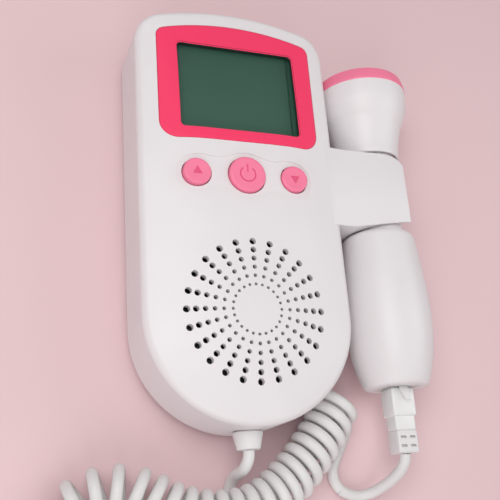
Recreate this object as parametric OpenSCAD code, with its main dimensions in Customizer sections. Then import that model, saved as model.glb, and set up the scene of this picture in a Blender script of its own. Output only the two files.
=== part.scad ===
// Handheld fetal doppler monitor with a docked probe and a curly cord.
// The unit lies on its back. X runs to the right of the display, Y towards the display end
// and Z out of the face. The origin lies on the back plane, below the centre of the grille.

/* [Case] */
// Width of the case
body_w = 72.4; // [68:0.2:76]
// Height of the crown of the face above the back plane
body_h = 35; // [34:0.5:38]
// Distance from the grille centre to the top of the case
body_top = 115; // [112:0.2:124]
// Radius of the arched top edge
top_arc_r = 97; // [85:1:130]
// Radius of the two upper corners
corner_r = 11.5; // [8:0.5:14]
// Radius that the face is crowned to from side to side
crown_r = 118; // [100:1:140]
// Radius that the face falls to from the grille towards the top
fall_r = 1530; // [1200:10:2400]
// Radius of the rounded edge round the face
edge_r = 3; // [2.6:0.1:4]
// Wall of the case
wall = 2.2; // [1.8:0.1:2.6]
// Height of the seam between the front shell and the rear cover
seam_z = 5.3; // [5:0.1:6]

/* [Rear cover] */
// Thickness of the plate of the rear cover
plate_t = 2.1; // [1.8:0.1:2.4]
// How far the raised back pad is set in from the outline of the case
pad_inset = 9; // [8.5:0.1:9.4]
// Height of the lip that locates the cover in the shell
lip_h = 3; // [2:0.5:4]
// Thickness of the lip
lip_t = 1.4; // [1:0.1:2]
// Radius of the screw bosses
boss_r = 2.8; // [2.4:0.1:3]
// Radius of the pilot holes in the bosses
pilot_r = 1.1; // [0.9:0.1:1.3]
// Radius of the case screw heads
head_r = 2.3; // [2:0.1:2.4]

/* [Battery door] */
// Where the door starts on the back, measured along Y
door_start = 34.3; // [33:0.1:36]
// Thickness of the door's skin
door_t = 1.6; // [1.2:0.1:1.8]
// How far the door slides to come off
door_travel = 12; // [11:0.5:13]
// Gap between the door and the plate above it
door_gap = 0.3; // [0.2:0.05:0.4]

/* [Batteries] */
// Radius of a penlight cell
cell_r = 7.25; // [7:0.05:7.25]
// Length of a penlight cell
cell_l = 50.5; // [49.5:0.1:50.5]
// Wall of the battery box
box_wall = 1.4; // [1:0.1:1.6]
// Clearance round the cells
cell_gap = 0.4; // [0.3:0.1:0.5]

/* [Display] */
// Width of the window in the bezel
window_w = 43.6; // [38:0.2:46]
// Height of the window in the bezel
window_h = 34; // [30:0.2:35]
// Distance from the top of the case down to the middle of the window
window_drop = 33.5; // [32:0.1:35]
// Margin of the bezel beside the window
bezel_side = 7.3; // [5:0.1:7.4]
// Margin of the bezel below the window
bezel_foot = 4.5; // [3:0.1:5]
// Width of the case's rim above the bezel
bezel_rim = 7; // [6.8:0.1:8]
// Depth that the bezel is let into the face
bezel_sunk = 1.2; // [1:0.1:1.4]
// How far the bezel stands proud of the face
bezel_proud = 0.2; // [0:0.05:0.4]
// Thickness of the clear window
lens_t = 1.1; // [0.8:0.1:1.1]
// Thickness of the display glass
lcd_t = 2; // [1.5:0.1:2.4]

/* [Buttons] */
// Distance from the middle of the window down to the row of buttons
button_drop = 34.5; // [33.5:0.1:35.5]
// Distance between neighbouring buttons
button_pitch = 17.5; // [16.5:0.1:18]
// Radius of the power button
power_r = 6.5; // [6:0.1:6.6]
// Radius of the arrow buttons
arrow_r = 4.8; // [4.4:0.1:5]
// How far a button stands proud of the face
button_proud = 1.3; // [1:0.1:1.6]
// How far a button travels
button_travel = 0.8; // [0.5:0.1:0.9]
// Gap round a button
button_gap = 0.3; // [0.25:0.05:0.4]

/* [Grille] */
// Radius of the outer ring of holes
grille_r = 23; // [21:0.1:23]
// Radius of the inner ring of holes
grille_inner_r = 8.25; // [8:0.05:9]
// Number of rings of holes
grille_rings = 6; // [4:1:6]
// Number of holes in a ring
grille_spokes = 24; // [18:1:26]
// Radius of the holes in the outer ring
hole_outer_r = 1.08; // [0.8:0.02:1.1]
// Radius of the holes in the inner ring
hole_inner_r = 0.49; // [0.4:0.01:0.6]

/* [Speaker] */
// Radius of the speaker's frame
speaker_r = 26.4; // [25.8:0.1:26.6]
// Depth of the seat of the speaker's frame below the crown of the face
speaker_drop = 8; // [7.5:0.1:8.5]
// Radius of the magnet
magnet_r = 11; // [9:0.5:12]

/* [Probe] */
// Distance from the middle of the unit to the probe's axis at the cradle
probe_x = 56.3; // [56.3:0.1:58]
// Height of the probe's axis above the back plane
probe_z = 18.6; // [18.5:0.1:19]
// Lean of the probe in its cradle, in degrees
probe_lean = 0.3; // [0:0.1:0.8]
// Radius of the probe's neck
neck_r = 9.8; // [9.4:0.1:10]
// Radius of the pink ring round the probe's face
ring_r = 18.1; // [17.8:0.1:18.2]
// Length of the pink ring
ring_l = 5.1; // [4.5:0.1:5.4]
// Wall of the probe's shells
probe_wall = 2; // [1.6:0.1:2.2]
// Distance from the grille centre's level to the probe's face
probe_top = 96.6; // [96:0.1:97.4]
// How far the probe moves to come out of its cradle
probe_travel = 22; // [20:0.5:24]

/* [Cradle] */
// Lower edge of the cradle where it meets the case
cradle_low = 32.9; // [32.4:0.1:33.2]
// Upper edge of the cradle where it meets the case
cradle_high = 63.4; // [60:0.1:64]
// Reach of the cradle from the middle of the unit
cradle_reach = 65.3; // [64:0.1:68]
// Wall of the cradle's jaws
jaw_t = 1.8; // [1.6:0.1:2]
// Gap between the probe's neck and the cradle
neck_gap = 0.4; // [0.3:0.05:0.6]

/* [Plug] */
// Width of the moulded plug body
plug_w = 8.8; // [8.2:0.1:9]
// Height of the moulded plug body
plug_h = 8; // [7.6:0.1:8.4]
// Length of the plug's nose inside the socket
nose_l = 10; // [9:0.1:10.5]
// Width of the plug's nose
nose_w = 7.7; // [7.4:0.1:7.8]
// Height of the plug's nose
nose_h = 6.6; // [6.4:0.1:6.8]
// Clearance of the nose in its socket
nose_gap = 0.2; // [0.15:0.05:0.25]
// How far the plug is drawn to come out of the socket
plug_travel = 12; // [11:0.5:12.5]

/* [Cord] */
// Diameter of the cord
cord_d = 3.8; // [3.4:0.1:3.8]
// Outer diameter of the curls
curl_d = 17; // [16:0.1:17]
// Least gap that is left between two curls
curl_gap = 0.6; // [0.5:0.05:0.8]

/* [Hidden] */
$fn = 64;

eps = 0.01;
half_w = body_w / 2;
tall = 60; // taller than anything, for cutting
big = 400; // wider than anything, for cutting
top_arc_y = body_top - top_arc_r;
window_y = body_top - window_drop;
buttons_y = window_y - button_drop;
speaker_seat_z = body_h - speaker_drop;
face_slack = 0.15; // round a piece that is let into another

// Points of an arc about a centre, from one angle to another.
function arc(cx, cy, r, a0, a1, n) =
    [for (i = [0:n]) let (a = a0 + (a1 - a0) * i / n) [cx + r * cos(a), cy + r * sin(a)]];

// Outline of the case, set in by d: round foot, straight sides, round corners and an arched top.
function case_outline(d) =
    let (
        w = half_w - d,
        rc = max(corner_r - d, 0.5),
        rt = top_arc_r - d,
        cx = w - rc,
        cy = top_arc_y + sqrt(pow(rt - rc, 2) - pow(cx, 2)),
        a = atan2(cy - top_arc_y, cx)
    )
    concat(
        arc(0, 0, w, 180, 360, 40),
        arc(cx, cy, rc, 0, a, 8),
        arc(0, top_arc_y, rt, a, 180 - a, 14),
        arc(-cx, cy, rc, 180 - a, 180, 8)
    );

// Half section of the face across the unit, set in by d: rounded edge, then the crown.
function crown_half(d) =
    let (
        w = half_w - d,
        re = edge_r - d,
        rc = crown_r - d,
        cz = body_h - crown_r,
        ex = w - re,
        ez = cz + sqrt(pow(rc - re, 2) - pow(ex, 2)),
        a = atan2(ez - cz, ex)
    )
    concat(
        re > 0.3 ? arc(ex, ez, re, 0, a, 6) : [[w, cz + sqrt(rc * rc - w * w)]],
        arc(0, cz, rc, a, 90, 10)
    );

// Section of the face along the unit, set in by d: a slow fall and a rounded top edge.
function fall_section(d) =
    let (
        y1 = body_top - d,
        re = edge_r - d,
        rf = fall_r - d,
        cz = body_h - fall_r,
        ey = y1 - re,
        ez = cz + sqrt(pow(rf - re, 2) - ey * ey),
        a = atan2(ez - cz, ey)
    )
    concat(
        [[-big, -big], [y1, -big]],
        re > 0.3 ? arc(ey, ez, re, 0, a, 6) : [[y1, cz + sqrt(rf * rf - y1 * y1)]],
        arc(0, cz, rf, a, 90, 12),
        [[-big, body_h - d]]
    );

// Solid under the face, set in by d, from a height upwards.
module crown(d, from = 0) {
    half = crown_half(d);
    w = half_w - d;
    intersection() {
        translate([0, 0, from]) linear_extrude(tall) polygon(case_outline(d));
        union() {
            rotate_extrude() polygon(concat([[0, 0], [w, 0]], half));
            translate([0, body_top, 0]) rotate([90, 0, 0]) linear_extrude(body_top)
                polygon(concat([[-w, 0], [w, 0]], half,
                    [for (i = [len(half) - 2:-1:0]) [-half[i][0], half[i][1]]]));
        }
        rotate([90, 0, 90]) translate([0, 0, -big / 2]) linear_extrude(big) polygon(fall_section(d));
    }
}

// Height of the face over a point of the plan.
function face_z(x, y) =
    min(body_h - crown_r + sqrt(crown_r * crown_r - x * x - (y < 0 ? y * y : 0)),
        body_h - fall_r + sqrt(fall_r * fall_r - (y > 0 ? y * y : 0)));

// Rectangle about the origin with round corners.
module rounded(w, h, r) {
    polygon(concat(
        arc(w / 2 - r, h / 2 - r, r, 0, 90, 5), arc(-w / 2 + r, h / 2 - r, r, 90, 180, 5),
        arc(-w / 2 + r, -h / 2 + r, r, 180, 270, 5), arc(w / 2 - r, -h / 2 + r, r, 270, 360, 5)));
}

// Block centred in x and y, standing on z = 0.
module block(size) {
    translate([-size[0] / 2, -size[1] / 2, 0]) cube(size);
}

/* Case screws: two at the top corners and two beside the foot. */
screw_clear = 0.7; // between a boss and the wall beside it
corner_x = half_w - corner_r;
corner_mid = [corner_x, top_arc_y + sqrt(pow(top_arc_r - corner_r, 2) - pow(corner_x, 2))];
screw_top = corner_mid + (corner_r - wall - boss_r - screw_clear) * [cos(30), sin(30)];
screw_foot = (half_w - wall - boss_r - screw_clear) * [cos(40), -sin(40)];
screws = [for (p = [screw_top, screw_foot], s = [-1, 1]) [s * p[0], p[1]]];
plate_z = seam_z - plate_t;
boss_z = seam_z + 3.2;
pilot_l = 12;
head_t = 1;
shank_l = 9;
head_seat_z = plate_z + head_t + 0.1;
drive_r = 0.9;

/* Inner stack: board, display, keypad. */
board_t = 1.6;
board_z = body_h * 22 / 35;
board_top = board_z + board_t;
board_w = body_w - 10.6;
board_y0 = buttons_y - 14;
board_y1 = screw_top[1] - boss_r - 1.5;
chip_t = 1.2;
board_r = 3;
chips = [[23.5, 10, 9, 9], [-23, -7, 7, 10], [23.5, 27, 8, 6]]; // x, y from the buttons, sizes
post_r = 2.2;
posts = [for (x = [-1, 1], y = [-7, 11]) [x * (board_w / 2 - post_r), buttons_y + y]];
window_r = 1.6;
window_gap = 0.4; // between the bezel's window and the shell's
lens_gap = 0.2; // round the clear window
glass_w = window_w + 4.4;
glass_h = window_h + 5;
glass_r = 0.6;
glass_gap = 0.2; // round the display glass in its holder
holder_wall = 1.8;
holder_ledge = 1.5; // that carries the edge of the display glass

/* Grommet and cord. */
cord_r = cord_d / 2;
grommet_z = 16.6;
grommet_hole_r = 4.1;
grommet_tip = 42;
floor_lift = 0.1; // keeps the cord just clear of the surface it lies on
coil_r = (curl_d - cord_d) / 2;
coil_z = curl_d / 2 + floor_lift;
lead_z = cord_r + floor_lift;

/* Probe sections, as radius against height along its axis. */
ring_low = probe_top - ring_l;
handle_end = -23.3;
probe_turn_y = 48;
probe_profile = [
    [10.6, handle_end], [11.4, -22.6], [12.1, -21], [13.2, -17.6], [14.5, -12], [15.4, -4.5],
    [15.7, 3], [15.2, 13.8], [14, 26], [13.6, 30], [13.3, 31.3], [neck_r + 2.7, 32.3],
    [neck_r + 1.2, 32.7], [neck_r, 32.8], [neck_r, 63.4], [neck_r + 1.8, 63.6],
    [neck_r + 2.4, 64.2], [neck_r + 2.5, 66], [neck_r + 2.9, 69.5], [ring_r - 4.2, 75],
    [ring_r - 3.3, 78], [ring_r - 2.1, 80.5],
    [ring_r - 0.8, 84.6], [ring_r - 0.3, 88], [ring_r - 0.1, ring_low]
];

module at_probe() {
    translate([probe_x, probe_turn_y, probe_z]) rotate([0, 0, -probe_lean])
        rotate([-90, 0, 0]) translate([0, 0, -probe_turn_y]) children();
}

/* ---------- unit ---------- */

module grille_holes() {
    for (i = [0:grille_rings - 1])
        let (
            share = i / (grille_rings - 1),
            r = grille_inner_r + (grille_r - grille_inner_r) * share,
            hole = hole_inner_r + (hole_outer_r - hole_inner_r) * share
        )
        for (k = [0:grille_spokes - 1])
            rotate([0, 0, 90 + k * 360 / grille_spokes]) translate([r, 0, speaker_seat_z - 1])
                cylinder(r = hole, h = 20, $fn = 16);
}

module bezel_plan(grow = 0) {
    w = window_w / 2 + bezel_side + grow;
    y0 = window_y - window_h / 2 - bezel_foot - grow;
    rt = top_arc_r - bezel_rim + grow;
    rc = 3.5 + grow;
    rb = 6.5 + grow;
    cx = w - rc;
    cy = top_arc_y + sqrt(pow(rt - rc, 2) - cx * cx);
    a = atan2(cy - top_arc_y, cx);
    polygon(concat(
        arc(-w + rb, y0 + rb, rb, 180, 270, 6), arc(w - rb, y0 + rb, rb, 270, 360, 6),
        arc(cx, cy, rc, 0, a, 6), arc(0, top_arc_y, rt, a, 180 - a, 12),
        arc(-cx, cy, rc, 180 - a, 180, 6)));
}

module front_shell() color([0.91, 0.89, 0.90]) {
    difference() {
        union() {
            difference() {
                crown(0, seam_z);
                crown(wall);
            }
            intersection() {
                crown(wall / 2);
                union() {
                    for (s = screws) translate([s[0], s[1], boss_z]) cylinder(r = boss_r, h = tall);
                    for (s = posts) translate([s[0], s[1], board_top]) cylinder(r = post_r, h = tall);
                    translate([0, 0, speaker_seat_z]) difference() {
                        cylinder(r = speaker_r, h = tall);
                        translate([0, 0, -1]) cylinder(r = grille_r + hole_outer_r + 0.4, h = tall);
                    }
                }
            }
        }
        for (s = screws) translate([s[0], s[1], boss_z - 1]) cylinder(r = pilot_r, h = pilot_l);
        difference() {
            translate([0, 0, 20]) linear_extrude(30) bezel_plan(face_slack);
            crown(bezel_sunk);
        }
        translate([0, window_y, 20]) linear_extrude(30)
            rounded(window_w + 2 * window_gap, window_h + 2 * window_gap, window_r);
        for (i = [-1:1]) translate([i * button_pitch, buttons_y, 20])
            cylinder(r = (i == 0 ? power_r : arrow_r) + button_gap, h = 30);
        translate([0, -half_w + wall + 2, grommet_z]) rotate([90, 0, 0])
            cylinder(r = grommet_hole_r, h = 10);
        grille_holes();
    }
}

module display_bezel() color([1, 0.29, 0.45]) {
    difference() {
        intersection() {
            crown(-bezel_proud);
            translate([0, 0, 20]) linear_extrude(30) bezel_plan();
        }
        crown(bezel_sunk);
        translate([0, window_y, 20]) linear_extrude(30) rounded(window_w, window_h, window_r);
    }
}

// Height of the inner face of the shell over the far corner of a centred rectangle.
function inner_z(w, h) = face_z(w / 2, window_y + h / 2) - wall - face_slack;
display_z = inner_z(glass_w, glass_h);

module display_window() color([0.8, 0.9, 0.85, 0.4]) {
    grow = 2 * (window_gap - lens_gap);
    translate([0, window_y, display_z]) linear_extrude(lens_t)
        rounded(window_w + grow, window_h + grow, window_r - lens_gap);
}

module display_glass() color([0.24, 0.38, 0.32]) {
    translate([0, window_y, display_z - lcd_t]) linear_extrude(lcd_t)
        rounded(glass_w, glass_h, glass_r);
}

module display_holder() color([0.9, 0.9, 0.88]) {
    w = glass_w + 2 * holder_wall;
    h = glass_h + 2 * holder_wall;
    top = inner_z(w, h) - face_slack;
    translate([0, window_y, 0]) difference() {
        translate([0, 0, board_top]) linear_extrude(top - board_top)
            rounded(w, h, glass_r + holder_wall);
        translate([0, 0, board_top - 1]) linear_extrude(tall)
            rounded(glass_w - 2 * holder_ledge, glass_h - 2 * holder_ledge, glass_r);
        translate([0, 0, display_z - lcd_t]) linear_extrude(tall)
            rounded(glass_w + 2 * glass_gap, glass_h + 2 * glass_gap, glass_r);
    }
}

module main_board() color([0.12, 0.42, 0.25]) {
    translate([0, 0, board_z]) linear_extrude(board_t)
        translate([0, (board_y0 + board_y1) / 2]) rounded(board_w, board_y1 - board_y0, board_r);
    for (c = chips) translate([c[0], buttons_y + c[1], board_z - chip_t])
        block([c[2], c[3], chip_t + eps]);
}

mat_t = 1;
mat_side = 7.5; // beyond the middle of the outer buttons
mat_depth = 14;
mat_r = 2;
dome_h = 1.2;
dome_foot_r = 4.4;
dome_tip_r = 3;
stem_gap = 0.3; // left between stem and dome when a button is pressed

module keypad_mat() color([0.75, 0.75, 0.78]) {
    translate([0, buttons_y, board_top]) {
        linear_extrude(mat_t) rounded(2 * (button_pitch + mat_side), mat_depth, mat_r);
        for (i = [-1:1]) translate([i * button_pitch, 0, mat_t - eps])
            cylinder(r1 = dome_foot_r, r2 = dome_tip_r, h = dome_h + eps);
    }
}

cap_bevel = 0.6;
flange_t = 1.2;
flange_rim = 1;
stem_r = 2.6;

// Button at x: bevelled cap, flange behind the face and stem over its dome.
module button(x, r) {
    top = face_z(x, buttons_y) + button_proud;
    flange_z = face_z(abs(x) + r + flange_rim, buttons_y) - wall - 0.5 - flange_t;
    foot = board_top + mat_t + dome_h + button_travel + stem_gap;
    translate([x, buttons_y, 0]) {
        translate([0, 0, top - cap_bevel - eps])
            cylinder(r1 = r, r2 = r - cap_bevel, h = cap_bevel + eps);
        translate([0, 0, flange_z]) cylinder(r = r, h = top - cap_bevel - flange_z);
        translate([0, 0, flange_z]) cylinder(r = r + flange_rim, h = flange_t);
        translate([0, 0, foot]) cylinder(r = stem_r, h = flange_z - foot + eps);
    }
}

module up_button() color([1, 0.5, 0.64]) button(-button_pitch, arrow_r);
module power_button() color([1, 0.5, 0.64]) button(0, power_r);
module down_button() color([1, 0.5, 0.64]) button(button_pitch, arrow_r);

/* Speaker: its depth follows from the room below the face. */
basket_z = speaker_seat_z * 15 / 27;
basket_t = 1.2;
basket_rim = 1.6;
basket_ledge = 2.6;
basket_step = 0.6;
pole_r = 4.2;
magnet_clear = 2.5; // between the magnet and the rear cover
magnet_plate_t = 1.2;
cone_t = 0.6;
surround_w = 2.6;
surround_h = 0.5;
coil_tube_r = 4;
coil_tube_t = 0.4;
coil_tube_z = basket_z + 1.5;
// Under side of the cone inside its surround: radius, and depth below the seat.
cone_low = [[0, 5], [3, 5.6], [5.6, 7.4], [8, 6.8]];

module speaker_frame() color([0.25, 0.25, 0.27]) {
    step_z = speaker_seat_z - basket_step;
    rotate_extrude() polygon([
        [speaker_r - basket_ledge - 1.4, speaker_seat_z - basket_rim],
        [speaker_r, speaker_seat_z - basket_rim], [speaker_r, speaker_seat_z],
        [speaker_r - basket_ledge, speaker_seat_z], [speaker_r - basket_ledge, step_z],
        [speaker_r - basket_ledge - 2, step_z], [magnet_r + 1, basket_z + basket_t],
        [pole_r, basket_z + basket_t], [pole_r, basket_z], [magnet_r + 1.6, basket_z]
    ]);
}

module speaker_cone() color([0.1, 0.1, 0.1]) {
    lip = speaker_r - basket_ledge - 0.2;
    z0 = speaker_seat_z - basket_step;
    low = concat([for (q = cone_low) [q[0], speaker_seat_z - q[1]]],
        [[lip - surround_w, z0 + surround_h], [lip, z0]]);
    rotate_extrude() polygon(concat(low,
        [for (i = [len(low) - 1:-1:0]) low[i] + [0, i == 0 || i == len(low) - 1 ? cone_t
            : cone_t + 0.2]]));
    translate([0, 0, coil_tube_z]) difference() {
        cylinder(r = coil_tube_r, h = speaker_seat_z - 5.9 - coil_tube_z);
        translate([0, 0, -1]) cylinder(r = coil_tube_r - coil_tube_t, h = 8);
    }
}

module speaker_magnet() color([0.45, 0.45, 0.47]) {
    foot_z = seam_z + magnet_clear;
    translate([0, 0, foot_z + magnet_plate_t])
        cylinder(r = magnet_r, h = basket_z - foot_z - magnet_plate_t);
    translate([0, 0, foot_z]) cylinder(r = magnet_r - 1, h = magnet_plate_t + eps);
}

/* ---------- back ---------- */

box_w = 4 * cell_r + 3 * cell_gap;
box_y0 = 36.6;
contact_room = 2.7; // beyond each end of the cells
box_y1 = box_y0 + cell_l + 2 * contact_room;
cell_z = seam_z + cell_r - 2;
cell_y = box_y0 + contact_room;
box_top = cell_z + cell_r + cell_gap;
hook_x = box_w / 2 + box_wall + 4;
hook_y = 62;
hook_l = 4;
hook_t = 1.2;
hook_stem = 3;
hook_foot = 6;
hook_gap = 0.3;
door_rim = 1.6;
grip_grooves = 4;
grip_pitch = 2.2;
grip_at = 8;
grip_r = 0.8;
grip_w = 16;

module pad_plan(inset, y0, y1) {
    intersection() {
        polygon(case_outline(inset));
        translate([-big / 2, y0]) square([big, y1 - y0]);
    }
}

module rear_cover() color([0.90, 0.88, 0.89]) {
    pad_end = door_start - door_gap;
    difference() {
        union() {
            translate([0, 0, plate_z]) linear_extrude(plate_t) polygon(case_outline(0.8));
            linear_extrude(plate_z + eps) pad_plan(pad_inset, -big / 2, pad_end);
            translate([0, 0, seam_z - eps]) linear_extrude(lip_h) difference() {
                polygon(case_outline(wall + face_slack));
                polygon(case_outline(wall + face_slack + lip_t));
            }
        }
        translate([0, 0, 2]) linear_extrude(tall) pad_plan(pad_inset + 2, -big / 2, pad_end - 2);
        translate([0, box_y0, -1]) translate([-box_w / 2, 0]) cube([box_w, box_y1 - box_y0, tall]);
        for (s = screws) translate([s[0], s[1], -1]) {
            cylinder(r = pilot_r + 0.5, h = tall);
            cylinder(r = head_r + 0.2, h = 1 + head_seat_z);
        }
        for (s = screws) translate([s[0], s[1], seam_z]) cylinder(r = boss_r + 0.3, h = tall);
        for (x = [-hook_x, hook_x]) translate([x, hook_y, 0]) {
            slot_l = hook_l + 2 * hook_gap;
            translate([0, door_travel / 2, 0])
                block([hook_stem + 2 * hook_gap, slot_l + door_travel, tall]);
            translate([0, door_travel, 0]) block([hook_foot + 2 * hook_gap, slot_l, tall]);
        }
        translate([0, -half_w, grommet_z]) rotate([90, 0, 0]) cylinder(r = 6, h = 20, center = true);
    }
}

module battery_door() color([0.88, 0.86, 0.87]) {
    difference() {
        linear_extrude(plate_z - door_gap) pad_plan(pad_inset, door_start, big);
        translate([0, 0, door_t]) linear_extrude(tall)
            pad_plan(pad_inset + door_rim, door_start + door_rim, big);
        for (i = [0:grip_grooves - 1])
            translate([0, door_start + grip_at + grip_pitch * i, -grip_r / 2])
                rotate([0, 90, 0]) cylinder(r = grip_r, h = grip_w, center = true, $fn = 24);
    }
    for (x = [-hook_x, hook_x]) translate([x, hook_y, 0]) {
        translate([0, 0, door_t - eps])
            block([hook_stem, hook_l, seam_z + hook_gap - door_t + 2 * eps]);
        translate([0, 0, seam_z + hook_gap]) block([hook_foot, hook_l, hook_t]);
    }
}

module battery_box() color([0.2, 0.2, 0.22]) {
    difference() {
        translate([-box_w / 2 - box_wall, box_y0 - box_wall, seam_z])
            cube([box_w + 2 * box_wall, box_y1 - box_y0 + 2 * box_wall, box_top + box_wall - seam_z]);
        translate([-box_w / 2, box_y0, 0]) cube([box_w, box_y1 - box_y0, box_top]);
    }
}

tip_l = 1.4;
tip_r = 2.7;

// The two cells lie side by side, with their tips at opposite ends.
module batteries() color([0.85, 0.7, 0.3]) {
    for (s = [-1, 1]) translate([s * (cell_r + cell_gap / 2), cell_y, cell_z]) rotate([-90, 0, 0]) {
        translate([0, 0, s < 0 ? 0 : tip_l]) cylinder(r = cell_r, h = cell_l - tip_l);
        translate([0, 0, s < 0 ? cell_l - tip_l - eps : 0]) cylinder(r = tip_r, h = tip_l + eps);
    }
}

contact_t = 0.4;
contact_r = 6;
contact_gap = 0.2;
spring_foot_r = 4.6;
spring_tip_r = 2.4;
spring_bore_r = 1.6;

// Contact plate with its spring, which reaches across the room beyond a cell.
module contact() {
    cylinder(r = contact_r, h = contact_t);
    translate([0, 0, contact_t - eps]) difference() {
        cylinder(r1 = spring_foot_r, r2 = spring_tip_r, h = contact_room - contact_t - contact_gap);
        translate([0, 0, -1]) cylinder(r = spring_bore_r, h = contact_room + 1);
    }
}

module battery_contacts() color([0.8, 0.8, 0.82]) {
    for (s = [-1, 1]) translate([s * (cell_r + cell_gap / 2), 0, cell_z]) {
        translate([0, box_y0, 0]) rotate([-90, 0, 0]) contact();
        translate([0, box_y1, 0]) rotate([90, 0, 0]) contact();
    }
}

module case_screws() color([0.7, 0.7, 0.72]) {
    for (s = screws) translate([s[0], s[1], head_seat_z - head_t]) {
        difference() {
            cylinder(r = head_r, h = head_t);
            translate([0, 0, -1]) cylinder(r = drive_r, h = 1 + 0.6 * head_t, $fn = 6);
        }
        translate([0, 0, head_t - eps]) cylinder(r = pilot_r, h = shank_l);
    }
}

flange_gap = 0.6; // between the grommet's inner flange and the wall
flange_step = [1.4, 1.8]; // past the hole, and thickness
tail_start_r = 5.05;
tail_wall = 1.85; // round the cord at the tip

module cord_grommet() color([0.92, 0.91, 0.91]) {
    inner = half_w - wall - flange_gap;
    tail_y = half_w + 0.2;
    translate([0, 0, grommet_z]) rotate([90, 0, 0]) {
        translate([0, 0, inner - flange_step[1]])
            cylinder(r = grommet_hole_r + flange_step[0], h = flange_step[1]);
        translate([0, 0, inner - eps])
            cylinder(r = grommet_hole_r - 0.2, h = tail_y - inner + 2 * eps);
        translate([0, 0, tail_y])
            cylinder(r1 = tail_start_r, r2 = cord_r + tail_wall, h = grommet_tip - tail_y);
    }
}

/* ---------- cradle ---------- */

slot_r = neck_r + neck_gap;
slot_x = probe_x - 0.6;
jaw_low = probe_z - slot_r - jaw_t;
jaw_high = probe_z + slot_r + jaw_t;
cradle_bulge = 1.3;
cradle_drop = 1; // of the upper jaw at its end
cradle_rise = 3.1; // of the lower edge, from the case to the end of the jaws
cradle_fall = 0.7; // of the upper edge, from the case to its corner
cradle_corner = [9.3, 5.7]; // quarter ellipse at the upper corner: along the jaws and down

module probe_cradle() color([0.91, 0.89, 0.90]) {
    n = 12;
    difference() {
        intersection() {
            translate([0, cradle_high, 0]) rotate([90, 0, 0])
                linear_extrude(cradle_high - cradle_low) difference() {
                    polygon(concat(
                        [[half_w - eps, jaw_low], [cradle_reach, jaw_low + 0.6]],
                        [[cradle_reach, jaw_low + jaw_t], [cradle_reach, jaw_high - jaw_t]],
                        [for (i = [0:n]) let (s = i / n)
                            [cradle_reach + (half_w - eps - cradle_reach) * s,
                                jaw_high - cradle_drop + s * 0.2 + cradle_bulge * sin(180 * s)]]));
                    translate([slot_x, probe_z]) circle(r = slot_r);
                    translate([slot_x, probe_z - slot_r]) square([cradle_reach, 2 * slot_r]);
                }
            linear_extrude(tall) polygon([
                [half_w - 1, cradle_low], [half_w + 6, cradle_low],
                [cradle_reach, cradle_low + cradle_rise],
                for (i = [0:8])
                    [cradle_reach - cradle_corner[0] * (1 - cos(90 * i / 8)),
                        cradle_high - cradle_fall - cradle_corner[1] * (1 - sin(90 * i / 8))],
                [half_w - 1, cradle_high]
            ]);
        }
        web = slot_x - slot_r - half_w;
        translate([half_w - 1, cradle_low + jaw_t, jaw_low + jaw_t])
            cube([web + 1 - jaw_t, cradle_high - cradle_low - 2 * jaw_t, 2 * slot_r]);
        crown(-eps / 2);
    }
}

/* ---------- probe ---------- */

function shrunk(profile, t) = [for (q = profile) [max(q[0] - t, 1), q[1]]];

module half_shell(turn) {
    inner = shrunk(probe_profile, probe_wall);
    last = len(probe_profile) - 1;
    at_probe() difference() {
        rotate([0, 0, turn]) rotate_extrude(angle = 180) polygon(concat(
            probe_profile,
            [for (i = [last:-1:1]) [inner[i][0], inner[i][1]]],
            [[inner[1][0], handle_end + probe_wall], [0, handle_end + probe_wall], [0, handle_end]]));
        translate([0, 0, handle_end - 1]) block([socket_w + 0.3, socket_h + 0.3, probe_wall + 2]);
    }
}

socket_w = 12;
socket_h = 11;
socket_l = 15;
latch_w = 3.2;
latch_tail = 7;
latch_slot = 5.1; // from the axis, on the latch's side

module probe_front_shell() color([0.91, 0.89, 0.90]) half_shell(180);
module probe_rear_shell() color([0.90, 0.88, 0.89]) half_shell(0);

ring_wall = 2;
ring_taper = 0.8;

module probe_ring() color([1, 0.45, 0.6]) {
    at_probe() difference() {
        translate([0, 0, ring_low]) cylinder(r1 = ring_r, r2 = ring_r - ring_taper, h = ring_l);
        translate([0, 0, ring_low - 1]) cylinder(r = ring_r - ring_wall, h = ring_l + 2);
    }
}

/* Sound head: lens in front, then the crystals in their cup. */
lens_r = ring_r - ring_wall - 0.2;
lens_back = 1.5;
lens_rise = 1.2;
crystal_r = 11;
crystal_t = 0.9;
crystal_split = 0.8; // between the two halves
crystal_back = 2.5; // behind the probe's face
cup_r = ring_r - 2.6;
cup_back = 3;

module probe_lens() color([0.85, 0.85, 0.87]) {
    at_probe() rotate_extrude() polygon(concat(
        [[0, probe_top - lens_back], [lens_r, probe_top - lens_back]],
        [for (i = [0:6]) [lens_r * (1 - i / 6), probe_top + lens_rise * sin(15 * i)]]));
}

module transducer_crystals() color([0.82, 0.76, 0.55]) {
    at_probe() translate([0, 0, probe_top - crystal_back]) for (a = [0, 180]) rotate([0, 0, a])
        intersection() {
            cylinder(r = crystal_r, h = crystal_t);
            translate([crystal_split / 2, -tall / 2, -1]) cube([tall, tall, crystal_t + 2]);
        }
}

module transducer_cup() color([0.3, 0.3, 0.32]) {
    at_probe() difference() {
        translate([0, 0, ring_low - cup_back])
            cylinder(r = cup_r, h = cup_back + ring_l - lens_back - 0.3);
        translate([0, 0, probe_top - crystal_back]) cylinder(r = crystal_r + 0.4, h = tall);
    }
}

/* Probe board, from behind the socket to behind the cup. */
probe_board_t = 1.2;
probe_board_ends = [11, 8.6]; // left free towards the socket and towards the cup
probe_chip = [6, 1, 8];
probe_chip_at = 20;

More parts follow.
